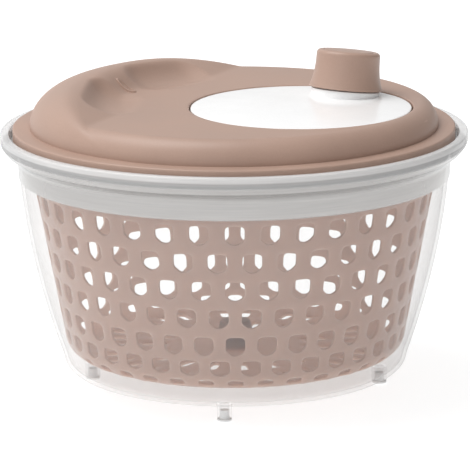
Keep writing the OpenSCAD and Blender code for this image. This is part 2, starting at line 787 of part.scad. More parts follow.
module drive_plate() {
    color(WHITE) difference() {
        union() {
            translate([0, 0, plate_z]) cylinder(r = plate_r, h = plate_t);
            translate([0, 0, plate_hub_under]) cylinder(r = plate_hub_r, h = plate_hub_top - plate_hub_under);
            for (r = [plate_r, inner_rib_r]) ring(r, r - rib_w, plate_z, plate_z + plate_t + rib_h);
            around(lug_count) translate([plate_hub_r - 1, -rib_w / 2, plate_z])
                cube([plate_r - plate_hub_r, rib_w, plate_t + rib_h]);
            around(lug_count) translate([plate_r - 4, -lug_w / 2, plate_z])
                cube([lug_reach - plate_r + 4, lug_w, plate_t + 1]);
        }
        translate([0, 0, plate_hub_under - 1]) spindle_section(fit_gap, 30);
    }
}

module drive_washer() {
    color(STEEL) ring(plate_hub_r - 2, screw_r + 0.1, plate_hub_under - plate_washer_t, plate_hub_under);
}

module drive_screw() {
    color(STEEL) translate([0, 0, plate_hub_under - plate_washer_t])
        cross_screw(screw_l, plate_screw_head_r, plate_screw_head_h);
}

bowl();
foot_plugs();
pivot_pin();
pivot_bush();
basket();
lid_cover();
gear_tray();
tray_screws();
axle_bush();
spindle_bush();
crank_disc();
ring_gear();
crank_axle();
axle_washers();
axle_clip();
knob_axle();
knob_clip();
knob();
knob_sleeve();
knob_cap();
pinion();
drive_spindle();
spindle_washer();
drive_plate();
drive_washer();
drive_screw();
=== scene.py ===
# %% [markdown]
# # Salad spinner: a finished look around a measured frame
#
# A salad spinner is three shells inside each other. A clear bowl stands on four small feet, a
# beige basket full of holes turns inside it, and a beige lid closes both. The lid carries a white
# disc with a knob, and gears under the disc spin the basket. The design file already settles every
# size and every joint, so this lesson starts from that model and never moves it. Each plain shell
# is replaced by a finer one of the same size, and every piece gets a finish.

# %% Load the frame
import json
import math

import bmesh
import bpy
import numpy as np
from mathutils import Matrix, Quaternion, Vector


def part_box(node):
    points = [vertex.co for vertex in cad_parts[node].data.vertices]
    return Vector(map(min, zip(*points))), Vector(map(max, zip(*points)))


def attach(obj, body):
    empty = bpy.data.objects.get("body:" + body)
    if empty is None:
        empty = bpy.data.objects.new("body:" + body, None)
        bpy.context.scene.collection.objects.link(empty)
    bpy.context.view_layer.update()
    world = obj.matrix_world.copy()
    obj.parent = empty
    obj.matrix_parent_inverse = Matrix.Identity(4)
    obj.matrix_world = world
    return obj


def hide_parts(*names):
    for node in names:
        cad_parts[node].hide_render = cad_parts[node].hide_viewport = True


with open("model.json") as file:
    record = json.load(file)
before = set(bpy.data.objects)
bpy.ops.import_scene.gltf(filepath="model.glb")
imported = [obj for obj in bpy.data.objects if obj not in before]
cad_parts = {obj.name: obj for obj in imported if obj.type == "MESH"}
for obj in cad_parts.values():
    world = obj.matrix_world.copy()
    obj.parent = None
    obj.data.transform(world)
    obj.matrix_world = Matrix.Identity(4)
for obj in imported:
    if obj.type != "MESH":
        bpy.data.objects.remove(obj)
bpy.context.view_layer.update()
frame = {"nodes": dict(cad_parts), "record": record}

# %% [markdown]
# ## Sizes
#
# The shells are turned parts, so a few radii and heights say nearly everything. They could all be
# typed in again, but then they would drift from the design when it changes. Here the boxes of the
# design's own nodes give the driving sizes, and only wall thicknesses, offsets and roundings are
# listed. Every size is in millimetres, because that is how such an object is drawn, and a
# mesh is scaled to Blender's metres once, when it is made.

# %% Sizes read from the frame
MM = 0.001


def top_of(node):
    """Highest point of a node, in millimetres."""
    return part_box(node)[1].z / MM


def bottom_of(node):
    """Lowest point of a node, in millimetres."""
    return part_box(node)[0].z / MM


def reach_of(node):
    """Half the width of a round node, in millimetres."""
    low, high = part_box(node)
    return (high.x - low.x) / 2 / MM


def centre_x_of(node):
    """Where a node's middle lies along X, in millimetres."""
    low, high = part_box(node)
    return (low.x + high.x) / 2 / MM


RIM_R = reach_of("bowl")
BOWL_H = top_of("bowl")
LID_R = reach_of("lid_cover")
LEDGE_Z = bottom_of("lid_cover")
BASKET_Z = bottom_of("basket")
BASKET_TOP = top_of("basket")
CRANK_X = centre_x_of("ring_gear")
DISC_OVER = 1.5         # how far the disc reaches past its ring gear
DISC_R = reach_of("ring_gear") + DISC_OVER
print("lip radius", round(RIM_R, 2), "height", round(BOWL_H, 2), "lid radius", round(LID_R, 2))
print("crank axis at x", round(CRANK_X, 2), "disc radius", round(DISC_R, 2))

# %% [markdown]
# ## The camera and the light
#
# The object is looked at from a little above its lip, from far away with a long lens, so that
# both ends of the lip look nearly alike. A near camera would swell the front of the bowl. The
# camera comes first, because every later choice is judged through it.

# %% Camera
AZIMUTH = math.radians(25.0)
ELEVATION = math.radians(13.28)
DISTANCE = 2.007
AIM = Vector((0.0002, 0.0, 0.0841))
PICTURE = 470          # the picture is square
FOCAL = 3612.0         # distance to the picture plane, in picture units
ROLL = math.radians(-0.4)


def make_camera():
    data = bpy.data.cameras.new("camera")
    data.sensor_width = 36.0
    data.lens = data.sensor_width * FOCAL / PICTURE
    data.clip_start = 0.05
    data.clip_end = 50.0
    camera = bpy.data.objects.new("camera", data)
    bpy.context.scene.collection.objects.link(camera)
    back = Vector((math.sin(AZIMUTH) * math.cos(ELEVATION), -math.cos(AZIMUTH) * math.cos(ELEVATION),
                   math.sin(ELEVATION)))
    camera.location = AIM + back * DISTANCE
    camera.rotation_mode = "QUATERNION"
    camera.rotation_quaternion = (-back).to_track_quat("-Z", "Y") @ Quaternion((0, 0, 1), ROLL)
    bpy.context.scene.camera = camera
    return camera


camera = make_camera()
print("lens, mm:", round(camera.data.lens, 1))

# %% [markdown]
# Soft studio light means large lamps and a bright surround. The lid is brightest on its left and
# darkens a great deal towards its right edge, so the surround itself fades from left to right. A
# large lamp high on the left adds the soft shine, and a weak one fills the front. Area lamps are
# used, because their soft edges leave long, smooth highlights on plastic.

# %% Light
LEFT_GLOW = 1.0
RIGHT_GLOW = 0.25


def make_lamp(name, place, aim, size, power):
    data = bpy.data.lights.new(name, "AREA")
    data.shape = "RECTANGLE"
    data.size, data.size_y = size
    data.energy = power
    lamp = bpy.data.objects.new(name, data)
    lamp.location = place
    lamp.rotation_mode = "QUATERNION"
    lamp.rotation_quaternion = (Vector(aim) - Vector(place)).to_track_quat("-Z", "Y")
    bpy.context.scene.collection.objects.link(lamp)
    return lamp


def picture_side(right, away, up):
    """A place in metres to the right of, away from and above the object, as the camera sees it."""
    across = Vector((math.cos(AZIMUTH), math.sin(AZIMUTH), 0))
    ahead = Vector((-math.sin(AZIMUTH), math.cos(AZIMUTH), 0))
    return across * right + ahead * away + Vector((0, 0, up))


def make_surround():
    """A surround that is bright on the picture's left and dim on its right."""
    world = bpy.data.worlds.new("surround")
    world.use_nodes = True
    tree = world.node_tree
    direction = tree.nodes.new("ShaderNodeTexCoord")
    across = tree.nodes.new("ShaderNodeVectorMath")
    across.operation = "DOT_PRODUCT"
    across.inputs[1].default_value = picture_side(1, 0, 0)
    tree.links.new(direction.outputs["Generated"], across.inputs[0])
    strength = tree.nodes.new("ShaderNodeMapRange")
    strength.inputs["From Min"].default_value = -1.0
    strength.inputs["To Min"].default_value = LEFT_GLOW
    strength.inputs["To Max"].default_value = RIGHT_GLOW
    tree.links.new(across.outputs["Value"], strength.inputs["Value"])
    tree.links.new(strength.outputs["Result"], tree.nodes["Background"].inputs["Strength"])
    tree.nodes["Background"].inputs["Color"].default_value = (1.0, 1.0, 1.0, 1.0)
    bpy.context.scene.world = world


def make_light():
    make_surround()
    aim = (0, 0, 0.1)
    make_lamp("lamp_left", picture_side(-0.8, 0.0, 2.0), aim, (1.4, 1.4), 29)
    make_lamp("lamp_front", picture_side(-0.8, -1.9, 0.6), aim, (1.4, 0.9), 2)


make_light()
bpy.context.scene.view_settings.view_transform = "Standard"

# %% [markdown]
# ## Finishes
#
# A single flat colour looks like a toy. Moulded plastic has a faint mottle from the way it flowed
# into the mould, a fine spark-eroded texture that scatters its shine, and edges that are rubbed
# lighter by handling. Each finish below is a small node network that makes these from noise in the
# piece's own coordinates and from its shape, so nothing slides when a piece moves.
#
# A few short helpers keep the networks readable.

# %% Node helpers
def new_finish(name):
    """An empty node material with its output, and its node tree."""
    material = bpy.data.materials.new(name)
    material.use_nodes = True
    tree = material.node_tree
    tree.nodes.clear()
    tree.nodes.new("ShaderNodeOutputMaterial")
    return material, tree


def node(tree, kind, sockets=(), **settings):
    """A new node; a socket takes a value, or the output that feeds it."""
    made = tree.nodes.new(kind)
    for name, value in settings.items():
        setattr(made, name, value)
    for name, value in dict(sockets).items():
        if isinstance(value, bpy.types.NodeSocket):
            tree.links.new(value, made.inputs[name])
        else:
            made.inputs[name].default_value = value
    return made


def surface(tree, sockets):
    """The Principled shader of a finish, led to its output."""
    shader = node(tree, "ShaderNodeBsdfPrincipled", sockets)
    tree.links.new(shader.outputs["BSDF"], tree.nodes["Material Output"].inputs["Surface"])


def noise(tree, scale, detail=3.0, roughness=0.55, stretch=(1, 1, 1)):
    """Noise in the piece's own metres; stretch makes it finer along an axis."""
    place = node(tree, "ShaderNodeTexCoord").outputs["Object"]
    mapped = node(tree, "ShaderNodeMapping", {"Vector": place, "Scale": stretch}).outputs["Vector"]
    sockets = {"Vector": mapped, "Scale": scale, "Detail": detail, "Roughness": roughness}
    return node(tree, "ShaderNodeTexNoise", sockets).outputs["Fac"]


def spread(tree, value, low, high, low_in=0.3, high_in=0.7):
    """The value, moved from one range to another."""
    sockets = {"Value": value, "From Min": low_in, "From Max": high_in, "To Min": low, "To Max": high}
    return node(tree, "ShaderNodeMapRange", sockets).outputs["Result"]


def mix(tree, amount, first, second, blend="MIX"):
    """One colour blended with another, by an amount from 0 to 1."""
    sockets = {"Factor": amount, "A": first, "B": second}
    return node(tree, "ShaderNodeMix", sockets, data_type="RGBA", blend_type=blend).outputs["Result"]


def tint(tree, amount, first, second):
    """A colour between two, wherever noise or another value puts it."""
    return mix(tree, spread(tree, amount, 0, 1), (*first, 1), (*second, 1))


def maths(tree, operation, first, second):
    return node(tree, "ShaderNodeMath", {0: first, 1: second}, operation=operation).outputs[0]


def bump(tree, height, strength, distance, normal=None):
    """A normal that follows a height, laid over another normal where there is one."""
    sockets = {"Height": height, "Strength": strength, "Distance": distance}
    if normal is not None:
        sockets["Normal"] = normal
    return node(tree, "ShaderNodeBump", sockets).outputs["Normal"]


def srgb(red, green, blue):
    """A screen colour from 0 to 255 as the linear colour that Blender wants."""
    def linear(c):
        c /= 255
        return c / 12.92 if c <= 0.04045 else ((c + 0.055) / 1.055) ** 2.4
    return (linear(red), linear(green), linear(blue))


def darker(colour, share):
    return tuple(c * share for c in colour)


print("a screen's middle grey is", round(srgb(128, 128, 128)[0], 3), "in linear light")


# %% [markdown]
# ### Moulded plastic
#
# The lid, the knob, the basket and the white parts are all moulded plastic and differ only in
# colour, gloss and how coarse their texture is. One function makes them all. The mottle is two
# sizes of noise, the texture is a fine bump, and the edges are found with Geometry's Pointiness
# and made a little lighter, as handling leaves them. The basket's wall is thin enough to let light
# through, so its finish also scatters light below the surface, which brightens its inside.

# %% Moulded plastic
GLOW_DEPTH = 0.012      # metres that light travels in the basket's plastic


def moulded_plastic(name, colour, roughness, grain=1.0, mottle=0.05, coat=0.0, glow=0.0):
    """Colour is the body's, grain the strength of its texture, glow how much light it lets through."""
    material, tree = new_finish(name)
    cloud, fleck, grit = noise(tree, 28.0, 4.0), noise(tree, 900.0, 2.0), noise(tree, 2600.0, 2.0)
    body = tint(tree, cloud, darker(colour, 1 - mottle), darker(colour, 1 + mottle * 0.6))
    flecked = mix(tree, 1.0, body, tint(tree, fleck, (0.965,) * 3, (1.0,) * 3), "MULTIPLY")
    edge = node(tree, "ShaderNodeNewGeometry").outputs["Pointiness"]
    worn = spread(tree, edge, 0.0, 1.0, 0.52, 0.60)
    rubbed = (*[min(1.0, c * 1.10 + 0.01) for c in colour], 1)
    fine = bump(tree, grit, 0.10 * grain, 0.00006)
    surface(tree, {
        "Base Color": mix(tree, worn, flecked, rubbed),
        "Roughness": spread(tree, cloud, roughness - 0.04, roughness + 0.05),
        "IOR": 1.49,
        "Coat Weight": coat,
        "Coat Roughness": 0.06,
        "Subsurface Weight": glow,
        "Subsurface Radius": (1.0, 0.9, 0.85),
        "Subsurface Scale": GLOW_DEPTH,
        "Normal": bump(tree, fleck, 0.16 * grain, 0.00012, fine)})
    return material


BEIGE = srgb(173, 144, 129)
BASKET_BEIGE = srgb(172, 137, 121)
lid_finish = moulded_plastic("beige_satin", BEIGE, 0.46)
knob_finish = moulded_plastic("beige_knob", BEIGE, 0.40, grain=0.8)
basket_finish = moulded_plastic("beige_basket", BASKET_BEIGE, 0.42, grain=0.7, glow=1.0)
white_finish = moulded_plastic("white_gloss", (0.95, 0.95, 0.95), 0.20, grain=0.25, mottle=0.012, coat=0.1)
tray_finish = moulded_plastic("white_satin", (0.74, 0.74, 0.73), 0.42, grain=0.8, mottle=0.03)
natural_finish = moulded_plastic("natural_plastic", (0.72, 0.69, 0.60), 0.38, grain=0.5, mottle=0.05)
soft_finish = moulded_plastic("soft_plug", (0.84, 0.85, 0.85), 0.5, grain=1.2, mottle=0.04)
print("plastics made, beige:", [round(c, 3) for c in BEIGE])

# %% [markdown]
# ### Turned steel
#
# The pin, axles, washers and screws are turned steel. Turning leaves fine rings round the axis, so
# the roughness and the bump follow noise that is stretched far more along Z than across it.

# %% Steel
def turned_steel(name):
    material, tree = new_finish(name)
    rings = noise(tree, 60.0, 3.0, stretch=(1, 1, 60))
    surface(tree, {
        "Base Color": tint(tree, noise(tree, 120.0, 3.0), (0.50, 0.51, 0.53), (0.62, 0.63, 0.64)),
        "Metallic": 1.0,
        "Roughness": spread(tree, rings, 0.22, 0.38),
        "Normal": bump(tree, rings, 0.15, 0.00004)})
    return material


steel_finish = turned_steel("turned_steel")
print("steel made:", steel_finish.name)

# %% [markdown]
# ### Clear bowl
#
# Clear plastic could be a real refracting solid. With a wall this thin, bending light adds little
# but dark stripes in the lip, and every light ray to the basket would have to find its way through
# two bends. So the finish works by how much of the surface is there to see. Where the wall faces
# the eye it is nearly empty, and where it turns away it thickens to a grey line. That grey is painted
# shade, which stands in for the dark edge that bending light gives a real bowl. The same pale surface
# covers more in the frosted collar and in the milky lip, and only height tells these zones apart.

# %% Clear plastic with a frosted collar
LIP_T = 4.3
FLARE_W = 9.6
FLARE_H = 12.4
COLLAR_H = 8.3
FLARE_BOTTOM = BOWL_H - LIP_T - FLARE_H
COLLAR_BOTTOM = FLARE_BOTTOM - COLLAR_H
FLOOR_TOP = 17.0
SOFT_STEP = 0.25
# Painted shade: the grey laid on the wall's turned-away edges, where bending light darkens a real bowl.
EDGE_SHADE_GREY = (0.42, 0.43, 0.43, 1.0)


def height_zones(tree, zones):
    """A ramp over height; zones are (height in mm, colour and cover), each up to the next height."""
    place = node(tree, "ShaderNodeTexCoord").outputs["Object"]
    height = node(tree, "ShaderNodeSeparateXYZ", {"Vector": place}).outputs["Z"]
    ramp = node(tree, "ShaderNodeValToRGB", {"Fac": spread(tree, height, 0, 1, 0.0, BOWL_H * MM)})
    ramp.color_ramp.interpolation = "LINEAR"
    stops = ramp.color_ramp.elements
    while len(stops) < len(zones):
        stops.new(0.5)
    for stop, (level, value) in zip(stops, zones):
        stop.position = level / BOWL_H
        stop.color = value
    return ramp.outputs["Color"], ramp.outputs["Alpha"]


def step_zones(heights, values):
    """Stops that hold each value between two heights, with a soft step from one to the next."""
    stops = [(0.0, values[0])]
    for height, before, after in zip(heights, values, values[1:]):
        stops += [(height - SOFT_STEP, before), (height + SOFT_STEP, after)]
    return stops


def clear_plastic(name, thin, thick):
    """Thin is the cover where the wall faces the eye, thick where it turns away."""
    material, tree = new_finish(name)
    streaks = noise(tree, 30.0, 4.0, 0.65, stretch=(1, 1, 45))
    heights = (FLOOR_TOP, COLLAR_BOTTOM, LEDGE_Z - 0.3, BOWL_H - LIP_T + 1.2)
    bottom, clear, collar = (1.0, 1.0, 1.0), (0.80, 0.80, 0.80), (0.50, 0.49, 0.48)
    groove, lip = (0.62, 0.62, 0.62), (0.97, 0.97, 0.97)
    covers = (0.12, 0.0, 0.93, 0.55, 0.55)
    values = [(*colour, cover) for colour, cover in zip((bottom, clear, collar, groove, lip), covers)]
    colour, cover = height_zones(tree, step_zones(heights, values))
    brushed = mix(tree, 1.0, colour, tint(tree, streaks, (0.88,) * 3, (1.0,) * 3), "MULTIPLY")
    facing = node(tree, "ShaderNodeLayerWeight", {"Blend": 0.5}).outputs["Facing"]
    edge = spread(tree, maths(tree, "POWER", facing, 5.0), thin, thick, 0.0, 1.0)
    surface(tree, {
        # Towards the turned-away edge the base colour turns to the painted grey shade.
        "Base Color": mix(tree, spread(tree, facing, 0.0, 1.0, 0.80, 0.94), brushed, EDGE_SHADE_GREY),
        "Metallic": spread(tree, cover, 0.0, 0.65, 0.6, 0.93),
        "Roughness": spread(tree, noise(tree, 160.0, 3.0), 0.16, 0.24),
        "Normal": bump(tree, streaks, 0.06, 0.0001),
        "Alpha": maths(tree, "MAXIMUM", edge, cover)})
    return material


bowl_finish = clear_plastic("clear_bowl", 0.10, 0.7)
print("frosted from", round(COLLAR_BOTTOM, 1), "to", round(LEDGE_Z, 1))

# %% [markdown]
# ### The table
#
# The table could be a plane with a horizon behind it. From this low angle a horizon would show as
# a line, so the table is one wide sheet that runs far past the picture. It is a lit one, with a lamp
# below it, which washes out the shadows, and a trace of grain keeps it from being one flat colour.

# %% Table
TABLE_HALF = 6.0        # metres
TABLE_DROP = 0.0002     # metres, so that the feet and the table don't share a plane


def make_table(finish):
    half = TABLE_HALF
    corners = [(-half, -half, 0), (half, -half, 0), (half, half, 0), (-half, half, 0)]
    mesh = bpy.data.meshes.new("table")
    mesh.from_pydata(corners, [], [(0, 1, 2, 3)])
    mesh.materials.append(finish)
    table = bpy.data.objects.new("table", mesh)
    table.location = (0, 0, -TABLE_DROP)
    bpy.context.scene.collection.objects.link(table)
    return table


def table_finish():
    material, tree = new_finish("pale_table")
    surface(tree, {
        "Base Color": tint(tree, noise(tree, 3.0), (0.40, 0.40, 0.40), (0.42, 0.42, 0.42)),
        "Roughness": 0.9,
        "Emission Color": (1.0, 1.0, 1.0, 1.0),
        "Emission Strength": 0.78})
    return material


table = make_table(table_finish())
print("table:", table.dimensions[0], "m wide")

# %% [markdown]
# ## Making meshes
#
# Nearly every piece is turned: an outline of radii and heights swept round an axis. Blender's
# Screw or Spin could sweep it, but a short function of our own keeps the outline closed, welds it
# on the axis and gives clean rings of quads. Corners are eased before the sweep, because no
# moulded edge is truly sharp and an eased edge is what catches the light.

# %% Outline and mesh helpers
EASE_STEPS = 3
LEAST_TURN = 18         # degrees; a smaller turn belongs to a smooth curve
CORNER = 38             # degrees; a smaller turn between faces is shaded smooth


def eased(corners, radius):
    """A closed outline with its real corners eased; points of a smooth curve stay as they are."""
    made = []
    for i, corner in enumerate(corners):
        here = np.array(corner[:2], float)
        before = np.array(corners[i - 1][:2], float) - here
        after = np.array(corners[(i + 1) % len(corners)][:2], float) - here
        length_before, length_after = np.hypot(*before), np.hypot(*after)
        on_axis = here[0] < 1e-6
        if on_axis or min(length_before, length_after) < 1e-6:
            made.append(tuple(here))
            continue
        before, after = before / length_before, after / length_after
        turn = 180 - math.degrees(math.acos(max(-1, min(1, float(before @ after)))))
        if turn < LEAST_TURN:
            made.append(tuple(here))
            continue
        wish = corner[2] if len(corner) > 2 else radius
        cut_before, cut_after = min(wish, 0.45 * length_before), min(wish, 0.45 * length_after)
        start, end = here + before * cut_before, here + after * cut_after
        for k in range(EASE_STEPS + 1):
            t = k / EASE_STEPS
            made.append(tuple((1 - t) ** 2 * start + 2 * t * (1 - t) * here + t * t * end))
    return made


def arc(cx, cz, rx, rz, start, end, steps):
    """Points along part of an ellipse, from one angle to another, in degrees."""
    angles = [math.radians(start + (end - start) * k / steps) for k in range(steps + 1)]
    return [(cx + rx * math.cos(a), cz + rz * math.sin(a)) for a in angles]


def turned(outline, steps):
    """Points and faces of a closed outline of (radius, height), turned about Z."""
    points, rings = [], []
    for radius, height in outline:
        if radius < 1e-6:
            rings.append([len(points)] * steps)
            points.append((0.0, 0.0, height))
            continue
        rings.append([len(points) + k for k in range(steps)])
        angles = [2 * math.pi * k / steps for k in range(steps)]
        points += [(radius * math.cos(a), radius * math.sin(a), height) for a in angles]
    faces = []
    for ring, following in zip(rings, rings[1:] + rings[:1]):
        for k in range(steps):
            m = (k + 1) % steps
            face = list(dict.fromkeys((ring[k], ring[m], following[m], following[k])))
            if len(face) > 2:
                faces.append(face)
    return points, faces


def joined(*solids):
    """Several (points, faces) as one."""
    points, faces = [], []
    for some_points, some_faces in solids:
        faces += [[i + len(points) for i in face] for face in some_faces]
        points += list(some_points)
    return points, faces


def placed(solid, matrix):
    """A (points, faces) moved by a matrix whose shift is in millimetres."""
    points, faces = solid
    return [tuple(matrix @ Vector(p)) for p in points], faces


def make_mesh(name, solid, weld=1e-7):
    """A Blender mesh in metres, welded, with its faces turned outwards."""
    points, faces = solid
    mesh = bpy.data.meshes.new(name)
    mesh.from_pydata([tuple(MM * c for c in p) for p in points], [], faces)
    work = bmesh.new()
    work.from_mesh(mesh)
    bmesh.ops.remove_doubles(work, verts=work.verts, dist=weld)
    bmesh.ops.recalc_face_normals(work, faces=work.faces)
    work.to_mesh(mesh)
    work.free()
    return mesh


def smooth(mesh, sharp):
    """Smooth shading that stops at edges sharper than some degrees."""
    mesh.polygons.foreach_set("use_smooth", [True] * len(mesh.polygons))
    mesh.set_sharp_from_angle(angle=math.radians(sharp))


def make_piece(name, solid, finish, body, stands_for=(), sharp=CORNER, weld=1e-7):
    """A finished piece that rides on a body and stands for nodes of the design."""
    mesh = make_mesh(name, solid, weld)
    mesh.materials.append(finish)
    smooth(mesh, sharp)
    piece = bpy.data.objects.new(name, mesh)
    bpy.context.scene.collection.objects.link(piece)
    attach(piece, body)
    if stands_for:
        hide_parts(*stands_for)
    print(name, "faces:", len(mesh.polygons))
    return piece


print("an eased square has", len(eased([(1, 0), (2, 0), (2, 1), (1, 1)], 0.2)), "points")

# %% [markdown]
# ## The bowl
#
# The real bowl is one moulding: floor, bowed wall, collar, flared lip, a ledge for the lid, a boss
# for the pivot pin and four hollow feet. Its wall keeps one thickness everywhere, which matters
# here because clear plastic shows every change. The outline follows the outside up from the
# middle of the floor and comes back down the inside. The feet are tubes, and a Boolean joins them
# to the floor so that light crosses one solid and not two overlapping ones.

# %% Bowl
WALL = 2.0
FOOT_H = 10.0
BASE_R = 86.0
HEEL_R = 95.8
HEEL_Z = FOOT_H + 8.7
WALL_BOW = 3.3
LIP_IN_R = RIM_R - 5.0
COLLAR_R = RIM_R - FLARE_W
WALL_TOP_R = COLLAR_R - 0.9
FLOOR_Z = FOOT_H + WALL
FOOT_R = 4.25
FOOT_BORE_R = 2.6
PLUG_HEAD = 1.6
PIN_R = 2.0
BOSS_H = 5.0
PIN_FIT = 0.02
LIP_ROUND = 1.2
LIP_SOFT = 0.9
BEAD_R = 0.75
BEAD_W = 0.55


def wall_radius(z):
    """Outer radius of the bowl's bowed wall."""
    u = max(0.0, (z - HEEL_Z) / (COLLAR_BOTTOM - HEEL_Z))
    return HEEL_R + (WALL_TOP_R - HEEL_R) * u + 4 * WALL_BOW * u * (1 - u)


def flare_radius(z):
    """Outer radius of the flare that carries the lip."""
    u = (BOWL_H - LIP_T - z) / FLARE_H
    return COLLAR_R + FLARE_W * (1 + math.cos(math.pi * u)) / 2


def bowl_outline():
    wall_heights = np.linspace(HEEL_Z, COLLAR_BOTTOM, 25)
    flare_heights = np.linspace(FLARE_BOTTOM, BOWL_H - LIP_T, 15)
    bead_z = BOWL_H - LIP_T - 0.42 * FLARE_H
    outside = [(0, FOOT_H)] + arc(BASE_R, HEEL_Z, HEEL_R - BASE_R, HEEL_Z - FOOT_H, -90, 0, 12)
    outside += [(wall_radius(z), z) for z in wall_heights[1:]]
    outside += [(COLLAR_R - 0.2, COLLAR_BOTTOM + 0.4)]
    for z in flare_heights:
        bead = BEAD_R * math.exp(-((z - bead_z) / BEAD_W) ** 2)
        outside.append((flare_radius(z) + bead, z))
    lip = arc(RIM_R - LIP_ROUND, BOWL_H - LIP_ROUND, LIP_ROUND, LIP_ROUND, 0, 90, 4)
    lip += arc(LIP_IN_R + LIP_SOFT, BOWL_H - LIP_SOFT, LIP_SOFT, LIP_SOFT, 90, 180, 4)
    ledge = [(LIP_IN_R, LEDGE_Z, 0.8), (LIP_IN_R - 3, LEDGE_Z, 0.8), (COLLAR_R - WALL, FLARE_BOTTOM, 3.0)]
    inside = [(wall_radius(z) - WALL, z) for z in wall_heights[::-1][1:]]
    inside += arc(BASE_R - 1, HEEL_Z, HEEL_R - BASE_R + 1 - WALL, HEEL_Z - FLOOR_Z, 0, -90, 12)[1:]
    bore_r = PIN_R + PIN_FIT
    boss = [(PIN_R + 8, FLOOR_Z, 1.5), (PIN_R + 6, FLOOR_Z + BOSS_H, 0.6), (bore_r, FLOOR_Z + BOSS_H, 0.2),
            (bore_r, FLOOR_Z - 0.4), (0, FLOOR_Z - 0.4)]
    return eased(outside + lip + ledge + inside + boss, 0.5)


def foot_places():
    """Where the feet stand, from the middles of the four plugs."""
    co = np.array([v.co for v in frame["nodes"]["foot_plugs"].data.vertices]) / MM
    angles = np.degrees(np.arctan2(co[:, 1], co[:, 0])) % 90
    turn = math.radians(float(np.median(angles)))
    ring = float((np.hypot(co[:, 0], co[:, 1]).max() + np.hypot(co[:, 0], co[:, 1]).min()) / 2)
    turns = [turn + k * math.pi / 2 for k in range(4)]
    return [(ring * math.cos(t), ring * math.sin(t)) for t in turns]


def foot_tube():
    """A hollow foot, let a little way into the floor."""
    return turned(eased([(FOOT_BORE_R, PLUG_HEAD), (FOOT_R, PLUG_HEAD), (FOOT_R, FOOT_H + 0.8),
                         (FOOT_BORE_R, FOOT_H + 0.8)], 0.35), 40)


def join_solid(piece, name, solid):
    """Joins a solid to a piece, and keeps the result as the piece's mesh."""
    other = bpy.data.objects.new(name, make_mesh(name, solid))
    bpy.context.scene.collection.objects.link(other)
    change = piece.modifiers.new("join", "BOOLEAN")
    change.operation = "UNION"
    change.solver = "EXACT"
    change.object = other
    graph = bpy.context.evaluated_depsgraph_get()
    graph.update()
    result = bpy.data.meshes.new_from_object(piece.evaluated_get(graph))
    piece.modifiers.remove(change)
    old = piece.data
    piece.data = result
    bpy.data.meshes.remove(old)
    bpy.data.objects.remove(other)


FEET = foot_places()
bowl = make_piece("clear_bowl", turned(bowl_outline(), 240), bowl_finish, "bowl", ["bowl"])
tubes = joined(*[placed(foot_tube(), Matrix.Translation((x, y, 0))) for x, y in FEET])
join_solid(bowl, "foot_tubes", tubes)
smooth(bowl.data, CORNER)
print("feet at", [(round(x), round(y)) for x, y in FEET])

# %% [markdown]
# ### Foot plugs
#
# Each tube is closed by a soft plug with a rounded head, so the bowl stands quietly and doesn't
# slide. It is another turned outline, repeated at the four feet.

# %% Foot plugs
def foot_plug():
    stem_r = FOOT_BORE_R - PIN_FIT
    stem_top = FOOT_H - 3.5
    head = [(0, 0), (FOOT_R - 1.2, 0), (FOOT_R - 0.3, 0.5), (FOOT_R - 0.2, PLUG_HEAD - 0.2),
            (FOOT_R - 0.5, PLUG_HEAD)]
    stem = [(stem_r, PLUG_HEAD), (stem_r, stem_top), (0, stem_top)]
    return turned(eased(head + stem, 0.5), 40)


plugs = joined(*[placed(foot_plug(), Matrix.Translation((x, y, 0))) for x, y in FEET])
make_piece("soft_plugs", plugs, soft_finish, "bowl", ["foot_plugs"])

# %% [markdown]
# ## The basket
#
# The real basket is moulded with all its holes at once, so every hole has a softly rounded edge and
# no cut is left. Booleans could punch a few hundred holes, but they leave long thin faces and
# sharp rims. Instead the wall is built as a quilt of small cells. Each cell is a patch of wall with
# one hole in it, and loops of points lead from the patch's border to the hole, round its edge,
# through the wall and back out to the border on the inside. Every other row up the wall is
# shifted by half a cell.
#
# First the wall itself: a way to find a point from its angle, its distance along the profile and
# its depth in the wall.

# %% Basket profile
BASKET_WALL = 1.8
HEEL_W = 13.4
HEEL_H = 12.7
HEEL_GAP = 2.6
RIM_W = 1.2
RIM_T = 2.0
NOTCH_H = 4.6
NOTCH_W = 12.0
LUGS = 6
BASKET_R = reach_of("basket") - RIM_W
BASKET_HEEL_Z = BASKET_Z + HEEL_H
HEEL_ROOM = [wall_radius(BASKET_HEEL_Z - HEEL_H * u) + HEEL_W * (1 - math.sqrt(1 - u * u))
             for u in np.linspace(0, 1, 13)]
BASKET_HEEL_R = min(HEEL_ROOM) - WALL - HEEL_GAP
BASKET_FLOOR_R = BASKET_HEEL_R - HEEL_W
HUB_TOP = 35.5
BUSH_R = 5.5
FLOOR_POINTS = 40
HEEL_POINTS = 40
WALL_POINTS = 60
MID_HEEL = FLOOR_POINTS + HEEL_POINTS // 2


def basket_profile():
    """Points of the outside from the floor's middle to the top edge, and the distance along it."""
    floor = [(r, BASKET_Z) for r in np.linspace(20, BASKET_FLOOR_R, FLOOR_POINTS)]
    heel = arc(BASKET_FLOOR_R, BASKET_HEEL_Z, HEEL_W, HEEL_H, -90, 0, HEEL_POINTS)[1:]
    wall = [(BASKET_HEEL_R + (BASKET_R - BASKET_HEEL_R) * t, BASKET_HEEL_Z + (BASKET_TOP - BASKET_HEEL_Z) * t)
            for t in np.linspace(0, 1, WALL_POINTS)[1:]]
    line = np.array(floor + heel + wall)
    along = np.concatenate([[0], np.cumsum(np.hypot(*np.diff(line, axis=0).T))])
    return line, along


PROFILE, ALONG = basket_profile()
SLOPE = np.gradient(PROFILE, ALONG, axis=0)
SLOPE /= np.hypot(SLOPE[:, 0], SLOPE[:, 1])[:, None]


